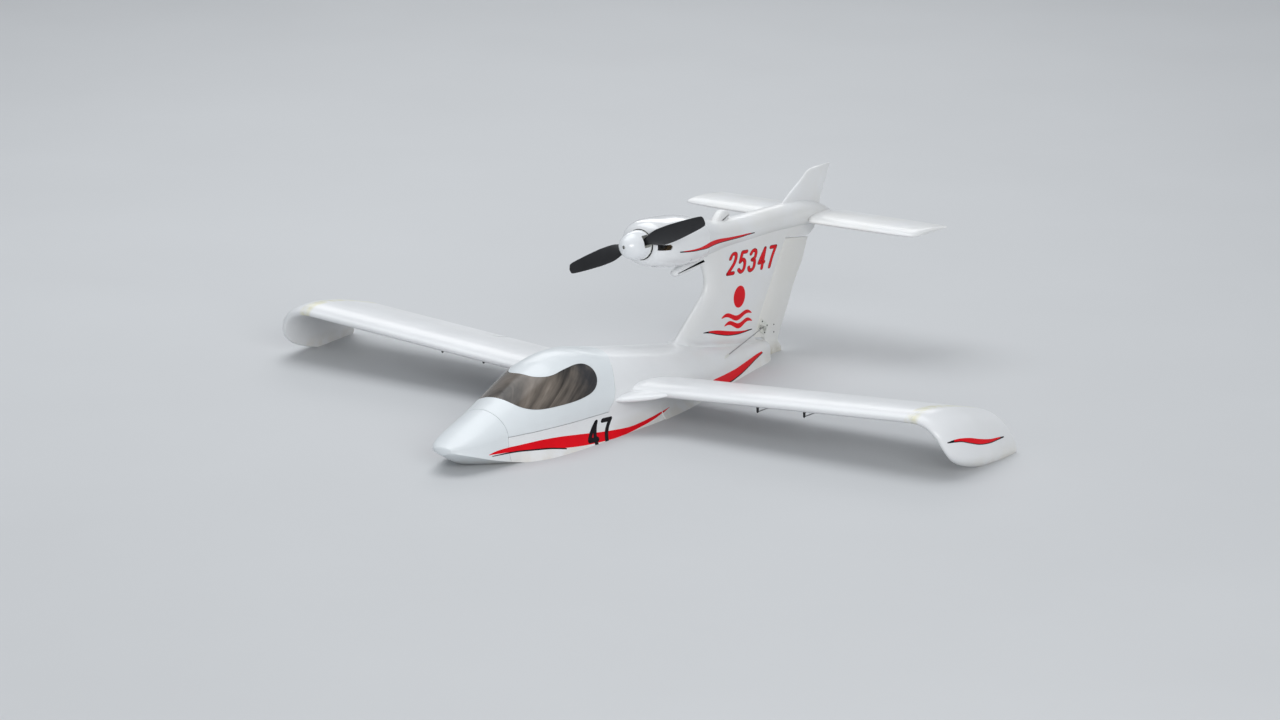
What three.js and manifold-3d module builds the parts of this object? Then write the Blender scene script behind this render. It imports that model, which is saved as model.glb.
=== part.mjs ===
// A foam radio-controlled flying boat, afloat: +X to port, nose towards -Y, +Z up, millimetres.
// The origin is on the centre plane, at the still waterline, level with the wing root's leading edge.
import * as THREE from 'three';
import { mergeVertices } from 'three/addons/utils/BufferGeometryUtils.js';
import Module from 'manifold-3d';

const wasm = await Module();
wasm.setup();

// Driving dimensions
const GAP = 0.3;                 // between pieces that touch
const HULL_WALL = 7;             // foam of the hull and the hatch
const NOSE_SEAM_Y = -311;        // nose cone meets hull and hatch
const SEAM_SILL_Z = 46.4;        // hatch's sill at the nose seam
const GLAZING = 1.5;
const WING_END_X = 633;          // flat panel ends, drooped tip begins
const DIHEDRAL = 0.0561;         // rise of the wing per unit of span
const SWEEP = 0.0333;            // leading edge runs aft per unit of span
const WING_LE_Z = 58.6;          // leading edge's height, carried to the centre plane
const WING_TE = [203, 0.031, 38.3];  // trailing edge at the centre plane: y, y per x, z
const PROP_RADIUS = 150;
const PROP_PITCH = 148;
const PROP_PHASE = 0.4276;       // blade line's turn about the shaft, port blade up
const HUB = [0, 143.7, 282.8];   // propeller's centre
const SHAFT_TILT = THREE.MathUtils.degToRad(4.8);
const STAB_Z = 234.5;
const ELEVATOR_HINGE_Y = 747;
const RUDDER_HINGE = { y: 512.5, z: 50, slope: 0.657 };  // foot of the hinge line, aft run per rise
const FLAP = { from: 136, to: 320, chord: 48 };
const AILERON = { from: 323, to: 558, chord: 48 };
const SURFACE_GAP = 0.5;         // at hinge lines
const END_GAP = 1.5;             // at the ends of moving surfaces

// Finishes
const FINISH = {
  foam: { color: 0xeef1f2, roughness: 0.42, metalness: 0 },
  gloss: { color: 0xf4f6f7, roughness: 0.15, metalness: 0 },
  smoke: { color: 0x4a4440, roughness: 0.08, metalness: 0, transparent: true, opacity: 0.55 },
  black: { color: 0x141416, roughness: 0.35, metalness: 0 },
  nylon: { color: 0xe6e7e2, roughness: 0.5, metalness: 0 },
  steel: { color: 0xa9abad, roughness: 0.3, metalness: 1 },
  motor: { color: 0x55585c, roughness: 0.4, metalness: 0.8 },
  ply: { color: 0xb58a55, roughness: 0.7, metalness: 0 },
  battery: { color: 0x27406e, roughness: 0.45, metalness: 0 },
};

// Solids

function solid(geometry) {
  const bare = geometry.clone();
  bare.deleteAttribute('normal');
  bare.deleteAttribute('uv');
  const merged = mergeVertices(bare, 1e-4);
  return new wasm.Manifold(new wasm.Mesh({
    numProp: 3,
    vertProperties: merged.attributes.position.array,
    triVerts: new Uint32Array(merged.index.array),
  }));
}

function geometryOf(body) {
  const mesh = body.getMesh();
  const geometry = new THREE.BufferGeometry();
  geometry.setAttribute('position', new THREE.BufferAttribute(mesh.vertProperties, 3));
  geometry.setIndex(new THREE.BufferAttribute(mesh.triVerts, 1));
  geometry.computeVertexNormals();
  return geometry;
}

// A skin over rings of equal count; a ring of one point is a pole, any other end is closed flat.
function loft(rings) {
  const points = [];
  const starts = rings.map((ring) => {
    const start = points.length;
    points.push(...ring);
    return start;
  });
  const faces = [];
  for (let r = 0; r + 1 < rings.length; r++) {
    const [near, far] = [rings[r].length, rings[r + 1].length];
    const count = Math.max(near, far);
    for (let i = 0; i < count; i++) {
      const j = (i + 1) % count;
      const a = starts[r] + (near === 1 ? 0 : i);
      const b = starts[r] + (near === 1 ? 0 : j);
      const c = starts[r + 1] + (far === 1 ? 0 : i);
      const d = starts[r + 1] + (far === 1 ? 0 : j);
      if (near > 1) faces.push([a, b, d]);
      if (far > 1) faces.push([a, d, c]);
    }
  }
  const close = (ring, start, flip) => {
    if (ring.length === 1) return;
    const centre = [0, 1, 2].map((k) => ring.reduce((sum, p) => sum + p[k], 0) / ring.length);
    const hub = points.push(centre) - 1;
    ring.forEach((_, i) => {
      const j = (i + 1) % ring.length;
      faces.push(flip ? [hub, start + j, start + i] : [hub, start + i, start + j]);
    });
  };
  close(rings[0], starts[0], true);
  close(rings.at(-1), starts.at(-1), false);
  return closed(points, faces);
}

// A closed body from points and faces, turned to face outwards.
function closed(points, faces) {
  const corner = (i) => new THREE.Vector3(...points[i]);
  const volume = faces.reduce(
    (sum, [a, b, c]) => sum + corner(a).dot(corner(b).cross(corner(c))), 0);
  const turned = volume < 0 ? faces.map(([a, b, c]) => [a, c, b]) : faces;
  const geometry = new THREE.BufferGeometry();
  geometry.setAttribute('position', new THREE.Float32BufferAttribute(points.flat(), 3));
  geometry.setIndex(turned.flat());
  return solid(geometry);
}

// A box between two corners.
function block(low, high) {
  const size = high.map((v, k) => v - low[k]);
  const geometry = new THREE.BoxGeometry(...size);
  geometry.translate(...low.map((v, k) => v + size[k] / 2));
  return solid(geometry);
}

// A round bar between two points.
function rod(from, to, radius, sides = 16, endRadius = radius) {
  const start = new THREE.Vector3(...from);
  const along = new THREE.Vector3(...to).sub(start);
  const geometry = new THREE.CylinderGeometry(endRadius, radius, along.length(), sides);
  geometry.translate(0, along.length() / 2, 0);
  geometry.applyQuaternion(new THREE.Quaternion().setFromUnitVectors(
    new THREE.Vector3(0, 1, 0), along.clone().normalize()));
  geometry.translate(...from);
  return solid(geometry);
}

// A slab with its outline in the y, z plane, centred at x, its rims rounded by the bevel.
function slab(outline, x, thickness, bevel = 0) {
  const shape = new THREE.Shape(outline.map(([y, z]) => new THREE.Vector2(y, z)));
  const geometry = new THREE.ExtrudeGeometry(shape, {
    depth: thickness - 2 * bevel,
    bevelEnabled: bevel > 0,
    bevelThickness: bevel,
    bevelSize: bevel,
    bevelOffset: -bevel,
    bevelSegments: 3,
    curveSegments: 12,
  });
  geometry.translate(0, 0, bevel - thickness / 2);
  const axes = new THREE.Matrix4().makeBasis(
    new THREE.Vector3(0, 1, 0), new THREE.Vector3(0, 0, 1), new THREE.Vector3(1, 0, 0));
  geometry.applyMatrix4(axes);
  geometry.translate(x, 0, 0);
  return solid(geometry);
}

const mirrored = (body) => body.mirror([1, 0, 0]);

const aircraft = new THREE.Group();

function piece(name, body, finish) {
  const mesh = new THREE.Mesh(geometryOf(body), new THREE.MeshStandardMaterial(FINISH[finish]));
  mesh.name = name;
  aircraft.add(mesh);
  return mesh;
}

// Hull, from nose to stern. Columns: y, keel z, chine x, chine z, side x, side z, crown z, fullness.
const HULL_TIP = [0, -427, 39.5];
const HULL = [
  [-423, 31, 17, 37.8, 18.5, 42.3, 47, 2.1],
  [-412, 25, 29.5, 34.7, 27.5, 42.5, 50.8, 2.1],
  [-398, 17, 38.5, 30.4, 34.5, 43, 56.2, 2.05],
  [-377, 8, 44.8, 23.8, 41, 43.6, 64, 1.97],
  [-358, 2, 50.4, 17.9, 45.5, 44.4, 70.5, 1.9],
  [-336, -4, 55.4, 11.7, 49.8, 45.3, 78, 1.85],
  [-311, -9, 60.4, 5.5, 53.8, 46.4, 86.2, 1.84],
  [-291, -12.5, 65, 1.1, 59, 46.1, 92.4, 1.85],
  [-277, -15.5, 75, -0.8, 62, 45.8, 97, 1.86],
  [-262, -18, 84.5, -2.6, 65.8, 45.4, 102.3, 1.88],
  [-240, -21, 95.5, -4.8, 69.8, 45, 110.5, 1.93],
  [-205, -25, 105.5, -7.2, 75, 44.3, 124, 2.03],
  [-154, -28, 112, -9.3, 80.8, 43.5, 139.2, 2.12],
  [-105, -30, 114.5, -10.3, 83.8, 42.6, 144, 2.17],
  [-70, -31, 115.5, -10.8, 86, 42, 142.6, 2.22],
  [-8, -32, 114, -11.6, 90, 40, 131.5, 2.22],
  [53, -33, 115, -12.2, 90.5, 38, 120, 2.2],
  [84, -33, 114, -12.5, 89.5, 37, 114, 2.2],
  [85, -25, 110.5, -5, 89.5, 37, 113.8, 2.2],
  [155, -22, 104, -4, 85, 34, 100.5, 2.2],
  [226, -19, 90.5, -2.5, 75, 31, 88.6, 2.2],
  [297, -16, 76.5, -1, 65, 28, 77.4, 2.15],
  [379, -13, 58.5, -1, 50, 24, 64, 2.15],
  [461, -10.5, 43.5, -1, 38, 19, 48.5, 2.4],
  [541, -8, 27.5, -1, 25.3, 13.5, 34.8, 3.4],
  [543.5, -6.5, 25.5, 0, 23.5, 13, 33.2, 3.4],
];
const UPPER_STEPS = 10;

function hullForm(grow) {
  const rings = HULL.map(([y, keel, chineX, chineZ, sideX, sideZ, crown, full]) => {
    const half = [];
    half.push([(chineX + grow) / 2, (keel + chineZ) / 2 - 1 - grow]);
    half.push([chineX + grow, chineZ - grow / 3]);
    for (let i = 0; i < UPPER_STEPS; i++) {
      const turn = (i / UPPER_STEPS) * (Math.PI / 2);
      const out = Math.cos(turn) ** (2 / full);
      const up = Math.sin(turn) ** (2 / full);
      half.push([(sideX + grow) * out, sideZ + (crown + grow - sideZ) * up]);
    }
    const port = half.map(([x, z]) => [x, y, z]);
    const starboard = half.map(([x, z]) => [-x, y, z]).reverse();
    return [[0, y, keel - grow], ...port, [0, y, crown + grow], ...starboard];
  });
  const tip = [0, HULL_TIP[1] - grow, HULL_TIP[2]];
  return loft([[tip], ...rings]);
}

const hullOuter = hullForm(0);
const hullClearance = hullForm(GAP);
const hullInner = hullForm(-HULL_WALL);
const FAR = 900;
const slice = (y0, y1, z0 = -FAR, z1 = FAR) => block([-FAR, y0, z0], [FAR, y1, z1]);
const BULKHEAD = 9;
const BAY_FLOOR_Z = -12;

// Rear edge of the hatch in side view, from the sill up.
const HATCH_REAR = [
  [-63, 42], [-58, 50], [-48, 60], [-42, 74], [-37, 90], [-28, 105], [-17, 116], [-2, 123],
  [12, 130], [12, 160],
];
const hatchSide = (grow) => slab([
  [NOSE_SEAM_Y - grow, SEAM_SILL_Z - grow],
  ...HATCH_REAR.map(([y, z], i) => [y + grow, i ? z : z - grow]),
  [NOSE_SEAM_Y - grow, 160]], 0, 2 * FAR);
const bay = hullInner.intersect(slice(NOSE_SEAM_Y + BULKHEAD, FAR, BAY_FLOOR_Z)).intersect(slab([
  [-FAR, -FAR], [HATCH_REAR[0][0] - BULKHEAD, -FAR],
  ...HATCH_REAR.map(([y, z]) => [y - BULKHEAD, z]), [-FAR, 160]], 0, 2 * FAR));

const noseCone = hullOuter.intersect(slice(-FAR, NOSE_SEAM_Y - GAP / 2));
const hatchRegion = hatchSide(-GAP / 2);
const hatchCut = hatchSide(GAP / 2);
const hull = hullOuter
  .subtract(slice(-FAR, NOSE_SEAM_Y + GAP / 2))
  .subtract(hatchCut)
  .subtract(bay);

// Window, in side view, wrapped over the front of the cabin and round at its rear ends.
const WINDOW = [
  [-285, 140], [-275, 104], [-272.5, 98.6], [-271, 96.7], [-267.7, 91.8], [-261.8, 86.7],
  [-252, 82.7], [-238, 79.6], [-220.7, 78], [-196.8, 77.5], [-171, 77.5], [-144, 78.1],
  [-120.6, 80.1], [-102, 83.6], [-88.8, 90], [-80.2, 98.9], [-76.3, 108.3], [-77.1, 117.6],
  [-83.4, 124.1], [-93.3, 127.6], [-108.6, 128.8], [-125.4, 127.8], [-146.4, 125.6],
  [-165, 122.7], [-178.3, 121.4], [-188.7, 121.4], [-197.5, 122.4], [-202, 125], [-203, 140],
];
const windowShape = (grow) => slab(
  WINDOW.map(([y, z], i, all) => {
    const before = all.at(i - 1);
    const after = all[(i + 1) % all.length];
    const run = Math.hypot(after[0] - before[0], after[1] - before[1]);
    return [y + (grow * (after[1] - before[1])) / run, z - (grow * (after[0] - before[0])) / run];
  }), 0, 2 * FAR);
const hatch = hullOuter.intersect(hatchRegion).subtract(bay).subtract(windowShape(GAP));
const glazing = hullOuter.intersect(hatchRegion).intersect(windowShape(0))
  .subtract(hullForm(-GLAZING));

// Wing section: Clark-Y-like. Columns: share of chord, upper and lower surface in shares of chord,
// measured from the line between leading and trailing edge.
const AIRFOIL = [
  [0.004, 0.013, -0.011],
  [0.018, 0.028, -0.021],
  [0.05, 0.046, -0.028],
  [0.11, 0.064, -0.032],
  [0.2, 0.077, -0.033],
  [0.32, 0.082, -0.030],
  [0.48, 0.076, -0.024],
  [0.66, 0.057, -0.017],
  [0.84, 0.030, -0.010],
  [1.0, 0.005, -0.005],
];

// A section's ring: leading and trailing edge points, and the direction of its upper side.
function sectionRing(le, te, up, thick = 1) {
  const chord = new THREE.Vector3().subVectors(te, le);
  const length = chord.length() * thick;
  const at = (s, t) => le.clone().addScaledVector(chord, s).addScaledVector(up, t * length);
  const upper = AIRFOIL.map(([s, t]) => at(s, t));
  const lower = AIRFOIL.map(([s, , t]) => at(s, t)).reverse();
  return [le, ...upper, ...lower].map((p) => p.toArray());
}

const wingLE = (x) => new THREE.Vector3(x, SWEEP * x, WING_LE_Z + DIHEDRAL * x);
const wingTE = (x) => new THREE.Vector3(x, WING_TE[0] + WING_TE[1] * x, WING_TE[2] + DIHEDRAL * x);
const wingUp = new THREE.Vector3(-DIHEDRAL, 0, 1).normalize();
const WING_ROOT_X = 60;
const panelForm = (drop) => loft([WING_ROOT_X, 200, 420, WING_END_X].map((x) => sectionRing(
  wingLE(x).setZ(wingLE(x).z - drop), wingTE(x).setZ(wingTE(x).z - drop), wingUp)));
const wingPanel = panelForm(0);
const panelClearance = panelForm(GAP);

// Root strake ahead of the leading edge. Columns: x, nose y, nose z, thickness, width aft.
const STRAKE = [
  [80, -47, 57, 12],
  [97, -41, 58, 14],
  [115, -31, 60, 15],
  [133, -18, 62, 14],
  [150, -5, 65, 11],
  [164, 9, 68, 7],
];
const strake = loft(STRAKE.map(([x, y, z, thick]) => {
  const te = new THREE.Vector3(x, 110, z - 4);
  const le = new THREE.Vector3(x, y, z);
  return sectionRing(le, te, wingUp, (thick / 0.115) / te.distanceTo(le));
}));

// Moving surfaces are cut from the panel along their hinge lines.
const hingePoint = (x, chord) => {
  const te = wingTE(x);
  return [x, te.y - chord, te.z + (chord * (WING_LE_Z - WING_TE[2])) / WING_TE[0]];
};

// The hinge line lies in the upper skin. A moving surface's front is bevelled from there down, to
// let it droop, and the fixed part ends in a plain upright face.
const HINGE_RISE = 8.5;          // hinge line above the wing's chord line
const DROP = 18;                 // depth of a bevel
const BEVEL = { flap: 17, aileron: 8.5, elevator: 9.5 };   // its run aft over that depth

function behindHinge(x, y, z, run = 0) {
  return [
    [x, y, z + 30], [x, y, z], [x, y + run, z - DROP],
    [x, y + run, z - 50], [x, y + 120, z - 50], [x, y + 120, z + 30],
  ];
}

function surfaceRegion(from, to, chord, run, ahead = 0) {
  return loft([from, to].map((x) => {
    const [, y, z] = hingePoint(x, chord);
    return behindHinge(x, y - ahead, z + HINGE_RISE, run);
  }));
}

const wingSurface = ({ from, to, chord }, run) =>
  wingPanel.intersect(surfaceRegion(from + END_GAP, to - END_GAP, chord, run));
const flap = wingSurface(FLAP, BEVEL.flap);
const aileron = wingSurface(AILERON, BEVEL.aileron);
const wing = wingPanel.add(strake)
  .subtract(hullClearance)
  .subtract(surfaceRegion(FLAP.from, AILERON.from, FLAP.chord, 0, SURFACE_GAP))
  .subtract(surfaceRegion(AILERON.from, AILERON.to, AILERON.chord, 0, SURFACE_GAP));

// Drooped tip with its float. Columns: leading edge x y z, trailing edge x y z, lean of the upper
// side outwards in degrees, thickness factor.
const TIP = [
  [633.3, 21.4, 94.1, 633.3, 222.6, 73.8, 3, 1],
  [645, 21.5, 93, 644, 226, 73, 14, 1],
  [660, 22, 88.5, 656, 230, 70.5, 32, 1],
  [673, 23, 80, 669, 235, 64, 48, 0.98],
  [683, 26, 68, 682, 242, 51, 62, 0.93],
  [690, 33, 51, 693, 248, 34, 72, 0.88],
  [694, 46, 34, 699, 253, 17, 80, 0.84],
  [695, 70, 19, 702, 255, 5, 84, 0.8],
  [695, 101, 8, 701, 247, -3, 86, 0.76],
  [694, 134, 0, 698, 225, -6, 88, 0.7],
];
const tipFloat = loft(TIP.map(([lx, ly, lz, tx, ty, tz, lean, thick]) => {
  const angle = THREE.MathUtils.degToRad(lean);
  const up = new THREE.Vector3(Math.sin(angle), 0, Math.cos(angle));
  if (lean === 3) up.copy(wingUp);
  return sectionRing(new THREE.Vector3(lx, ly, lz), new THREE.Vector3(tx, ty, tz), up, thick);
}));

// Pod. Columns: y, centre z, half width, height above and below the centre, fullness.
const POD = [
  [154.6, 281.5, 33, 25, 25, 2],
  [156.7, 281, 38, 31, 30, 2],
  [162.3, 280, 43, 37, 35, 2.1],
  [175.5, 278.7, 47.5, 42, 39.5, 2.2],
  [201, 276.3, 50.5, 44.5, 43, 2.25],
  [242, 272.8, 50, 44.5, 46, 2.3],
  [288, 268, 45.5, 41.5, 45.5, 2.25],
  [316.3, 264.7, 41, 36, 41, 2.2],
  [344, 262.3, 36.5, 30.5, 35, 2.2],
  [372, 259.8, 33, 25.5, 31, 2.2],
  [400, 257.4, 29.5, 24.5, 27, 2.2],
  [482, 253.2, 24.5, 23.3, 24.5, 2.2],
  [564, 252.1, 22.5, 22, 24, 2.2],
  [646, 250.9, 22, 21, 26, 2.2],
  [707, 242.9, 18.5, 18.5, 24, 2.2],
  [750, 233.3, 13, 13, 16, 2.1],
  [771, 227, 8, 8, 9, 2],
];
const POD_TAIL = [0, 780, 223];
const POD_STEPS = 8;

function podForm(grow) {
  const rings = POD.map(([y, centre, width, above, below, full]) => {
    const ring = [];
    for (let i = 0; i < 4 * POD_STEPS; i++) {
      const turn = (i / (4 * POD_STEPS)) * 2 * Math.PI;
      const [c, s] = [Math.cos(turn), Math.sin(turn)];
      const x = (width + grow) * Math.sign(c) * Math.abs(c) ** (2 / full);
      const height = (s > 0 ? above : below) + grow;
      ring.push([x, y, centre + height * Math.sign(s) * Math.abs(s) ** (2 / full)]);
    }
    return ring;
  });
  return loft([...rings, [[POD_TAIL[0], POD_TAIL[1] + grow, POD_TAIL[2]]]]);
}

const podOuter = podForm(0);
const podClearance = podForm(GAP);
const COWL_WALL = 2;
const COWL_REAR_Y = 316;
const SPIGOT_FRONT_Y = 211;
const cowlInner = podForm(-COWL_WALL);
const shaftPoint = (along, out = 0, turn = 0) => {
  const y = HUB[1] + along * Math.cos(SHAFT_TILT) + out * Math.sin(turn) * Math.sin(SHAFT_TILT);
  const z = HUB[2] - along * Math.sin(SHAFT_TILT) + out * Math.sin(turn) * Math.cos(SHAFT_TILT);
  return [HUB[0] + out * Math.cos(turn), y, z];
};
const SPINNER_RADIUS = 26;
const noseHole = rod(shaftPoint(-30), shaftPoint(20), SPINNER_RADIUS + 1.5, 40);
// Side slots, one on each side, and the air inlet below.
const SLOT = [[156, 275.8], [156, 285.8], [181.5, 283.3], [185.5, 278.4], [181.5, 273.7]];
const INLET = { x: 9, y0: 171.5, y1: 196, wide: 20, y2: 181.5 };
const inlet = block([-INLET.wide, INLET.y0, 200], [INLET.wide, INLET.y2, 255])
  .add(block([-INLET.x, INLET.y0, 200], [INLET.x, INLET.y1, 255]));
const cowl = podOuter.intersect(slice(0, COWL_REAR_Y - GAP / 2))
  .subtract(cowlInner.intersect(slice(157.5, 400)))
  .subtract(slab(SLOT, 0, 2 * FAR).intersect(slice(0, 400)))
  .subtract(inlet)
  .subtract(noseHole);
const pod = podOuter.intersect(slice(COWL_REAR_Y + GAP / 2, FAR))
  .add(podForm(-COWL_WALL - GAP).intersect(slice(SPIGOT_FRONT_Y, COWL_REAR_Y + 1)));

// Motor block on its mount, with the shaft that carries the propeller.
const MOTOR_RADIUS = 18;
const SHAFT_RADIUS = 2.5;
const motorFront = 36;
const motorRear = 78;
const motor = rod(shaftPoint(motorFront), shaftPoint(motorRear), MOTOR_RADIUS, 32);
const mountPlate = rod(shaftPoint(motorRear + GAP), shaftPoint(motorRear + GAP + 3), 30, 32);
const podBody = pod.subtract(
  rod(shaftPoint(40), shaftPoint(motorRear + 2 * GAP + 3), 70, 24).intersect(slice(0, 300)));

// Propeller. Blade columns: share of radius, chord.
const BLADE = [
  [0.06, 13], [0.17, 18], [0.27, 28], [0.37, 32], [0.5, 31.5],
  [0.65, 28.5], [0.8, 24.5], [0.92, 20.5], [0.985, 16], [1, 10],
];
const BLADE_SECTION = [[-0.45, 0], [-0.3, 0.55], [0, 1], [0.3, 0.65], [0.55, 0.05], [0.3, -0.1], [-0.3, -0.1]];
const shaftFrame = new THREE.Matrix4().makeRotationX(-SHAFT_TILT).setPosition(...HUB);

function blade(turn) {
  const rings = BLADE.map(([share, chord]) => {
    const radius = share * PROP_RADIUS;
    const pitch = Math.atan(PROP_PITCH / (2 * Math.PI * Math.max(radius, 20)));
    const thick = Math.max(1.4, 5.5 * (1 - share));
    return BLADE_SECTION.map(([s, t]) => {
      const run = s * chord;
      const rise = t * thick;
      const point = new THREE.Vector3(
        radius,
        run * Math.sin(pitch) - rise * Math.cos(pitch),
        -run * Math.cos(pitch) - rise * Math.sin(pitch));
      return point.applyAxisAngle(new THREE.Vector3(0, -1, 0), turn)
        .applyMatrix4(shaftFrame).toArray();
    });
  });
  return loft(rings);
}

const HUB_RADIUS = 11;
const propeller = blade(PROP_PHASE).add(blade(PROP_PHASE + Math.PI))
  .add(rod(shaftPoint(-6), shaftPoint(6), HUB_RADIUS, 28))
  .subtract(rod(shaftPoint(-20), shaftPoint(20), SHAFT_RADIUS + GAP, 16));
const SPINNER_LENGTH = 40;
const SPINNER_BACK = 8;

function spinnerForm(grow) {
  const profile = [new THREE.Vector2(0, SPINNER_LENGTH + SPINNER_BACK + grow)];
  for (let i = 1; i <= 8; i++) {
    const turn = (i / 8) * (Math.PI / 2);
    profile.push(new THREE.Vector2(
      (SPINNER_RADIUS + grow) * Math.sin(turn),
      (SPINNER_LENGTH + SPINNER_BACK + grow) * Math.cos(turn) ** 0.85));
  }
  profile.push(new THREE.Vector2(0, 0));
  const geometry = new THREE.LatheGeometry(profile.reverse(), 36);
  geometry.rotateX(Math.PI);
  geometry.translate(0, SPINNER_BACK, 0);
  return solid(geometry.applyMatrix4(shaftFrame));
}

const bladeSlot = (turn) => {
  const slot = new THREE.BoxGeometry(80, 22, 22);
  slot.translate(48, 0, 0);
  slot.applyMatrix4(new THREE.Matrix4().makeRotationAxis(new THREE.Vector3(0, -1, 0), turn));
  return solid(slot.applyMatrix4(shaftFrame));
};
const spinner = spinnerForm(0)
  .subtract(spinnerForm(-1.6).intersect(slice(0, 200)))
  .subtract(rod(shaftPoint(6.5), shaftPoint(20), SPINNER_RADIUS + 5))
  .subtract(bladeSlot(PROP_PHASE))
  .subtract(bladeSlot(PROP_PHASE + Math.PI));
const backplate = rod(shaftPoint(6.8), shaftPoint(9), SPINNER_RADIUS, 36)
  .add(rod(shaftPoint(-12), shaftPoint(motorFront - GAP), SHAFT_RADIUS, 16));

// Fin. Columns: z, leading edge y, half thickness.
const FIN = [
  [39.5, 215.7, 20], [69, 248.4, 18], [82, 264.8, 16], [98.6, 287.3, 15], [116.3, 308.8, 14],
  [138, 336.4, 13], [155.8, 354.9, 12.5], [172.7, 361, 12], [188.8, 358, 12], [206, 350, 12.5],
  [220, 337.6, 14], [238.5, 323.4, 16],
];
const FIN_SECTION = [[0.004, 0.25], [0.02, 0.5], [0.06, 0.76], [0.15, 0.96], [0.32, 1], [0.6, 0.84], [1, 0.42]];
const hingeY = (z) => RUDDER_HINGE.y + RUDDER_HINGE.slope * (z - RUDDER_HINGE.z);
const finForm = (grow) => loft(FIN.map(([z, le, half]) => {
  const nose = le - grow;
  const te = hingeY(z) - SURFACE_GAP + grow;
  const side = FIN_SECTION.map(([s, t]) => [half * t + grow, nose + s * (te - nose), z]);
  return [[0, nose, z], ...side, ...side.map(([x, y]) => [-x, y, z]).reverse()];
}));
// Fixed fairing under the pod's tail, over the rudder: side outline in y, z, and its half section.
const FAIRING = [
  [612, 211.2], [697, 199.2], [707, 202.3], [716, 207.2], [722.5, 211.8], [724, 232], [612, 240],
];
const FAIRING_HALF = [[0, 606], [4.6, 609], [4.8, 625], [1.6, 726], [0, 727]];   // x, y
const fairing = slab(FAIRING, 0, 20).intersect(loft([190, 250].map((z) => [
  ...FAIRING_HALF.map(([x, y]) => [x, y, z]),
  ...FAIRING_HALF.slice(1, -1).map(([x, y]) => [-x, y, z]).reverse()])));
const fin = finForm(0).add(fairing).subtract(hullClearance).subtract(podClearance);

// Rudder, with the water rudder below the stern. Side outline in y, z.
const rudderHinge = (z, back = 0) => [hingeY(z) + back, z];
const RUDDER = [
  rudderHinge(45), rudderHinge(208), [696, 197], [677.5, 156], [660, 132], [643.5, 104],
  [626, 71], [610, 45], [604, 33], [600.5, 25], [603, 18.5], [611, 10], [613.5, 2], [613.5, -10],
  [611, -24], [604, -34], [592, -39], [576, -37], [563.5, -27], [558.5, -10], [557.5, 8],
  [557.5, 24], [556.5, 31], [551.5, 36], [543, 38.2],
];
const RUDDER_HALF = 5.2;
const rudderForm = (grow) => {
  const ring = (z) => {
    const y = hingeY(z);
    const sides = [[RUDDER_HALF + grow, 9], [RUDDER_HALF * 0.8 + grow, 45], [1.6 + grow, 200]];
    return [[0, y - grow, z], ...sides.map(([x, aft]) => [x, y + aft, z]),
      ...sides.map(([x, aft]) => [-x, y + aft, z]).reverse()];
  };
  return loft([ring(-60), ring(260)]);
};
const rudder = slab(RUDDER, 0, 40).intersect(rudderForm(0));

// Control horn of the rudder: a plate square to the hinge line, on a foot screwed to the port side.
const HORN_Z = 66;               // where the plate's plane meets the hinge line
const HORN_REACH = 22;           // from the centre plane to the pushrod's pin
const HORN_PLATE = [[5, 10], [5, 30], [10, 30], [25, 5], [25, -3], [19, -3]];   // x, distance aft
const HORN_FOOT = { aft: [9, 36], rise: [-6, 16], thick: 2 };
const hingeLean = Math.atan(RUDDER_HINGE.slope);
const hingeFrame = new THREE.Matrix4().makeRotationX(-hingeLean)
  .setPosition(0, hingeY(HORN_Z), HORN_Z);
const inHingeFrame = (low, high) => {
  const geometry = new THREE.BoxGeometry(...high.map((v, k) => v - low[k]));
  geometry.translate(...low.map((v, k) => (v + high[k]) / 2));
  return solid(geometry.applyMatrix4(hingeFrame));
};
const hornPlate = (() => {
  const shape = new THREE.Shape(HORN_PLATE.map(([x, aft]) => new THREE.Vector2(x, aft)));
  const geometry = new THREE.ExtrudeGeometry(shape, { depth: 2, bevelEnabled: false });
  return solid(geometry.applyMatrix4(hingeFrame));
})();
const rudderHorn = hornPlate
  .add(inHingeFrame([2, HORN_FOOT.aft[0], HORN_FOOT.rise[0]],
    [RUDDER_HALF + HORN_FOOT.thick, HORN_FOOT.aft[1], HORN_FOOT.rise[1]]))
  .subtract(rudderForm(GAP));
const ROD_EXIT = [46, 365, 46];
const ROD_DEPTH = 24;
const rodEnd = new THREE.Vector3(HORN_REACH, 0, -1.6).applyMatrix4(hingeFrame).toArray();
const rodLine = new THREE.Vector3(...rodEnd).sub(new THREE.Vector3(...ROD_EXIT)).normalize();
const rodStart = new THREE.Vector3(...ROD_EXIT).addScaledVector(rodLine, -ROD_DEPTH).toArray();
const ROD_RADIUS = 0.9;
const rudderRod = rod(rodStart, rodEnd, ROD_RADIUS, 10);
const rodHole = rod(rodStart, rodEnd, ROD_RADIUS + GAP, 10);

// Fingers on the top and bottom of the pod. Side outlines in y, z.
const STUB = [
  [376, 272], [386, 282], [394, 290], [402.5, 295.5], [412, 297.3], [421, 295.4], [427.3, 291.5],
  [429, 287], [425.5, 282], [420.5, 275.5], [418, 268], [398, 266],
];
const topStub = slab(STUB, 0, 17, 5).subtract(podClearance);
const SCOOP = [
  [344.8, 228.1], [318.2, 224.5], [291.7, 224.9], [269.2, 218.2], [261, 215.3], [258, 210.4],
  [261, 205.3], [269.2, 203.7], [297.8, 205.8], [324.3, 209.4], [346.8, 212], [361, 218],
];
const lowerScoop = slab(SCOOP, 0, 15, 5).subtract(podClearance).subtract(finForm(GAP));

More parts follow.
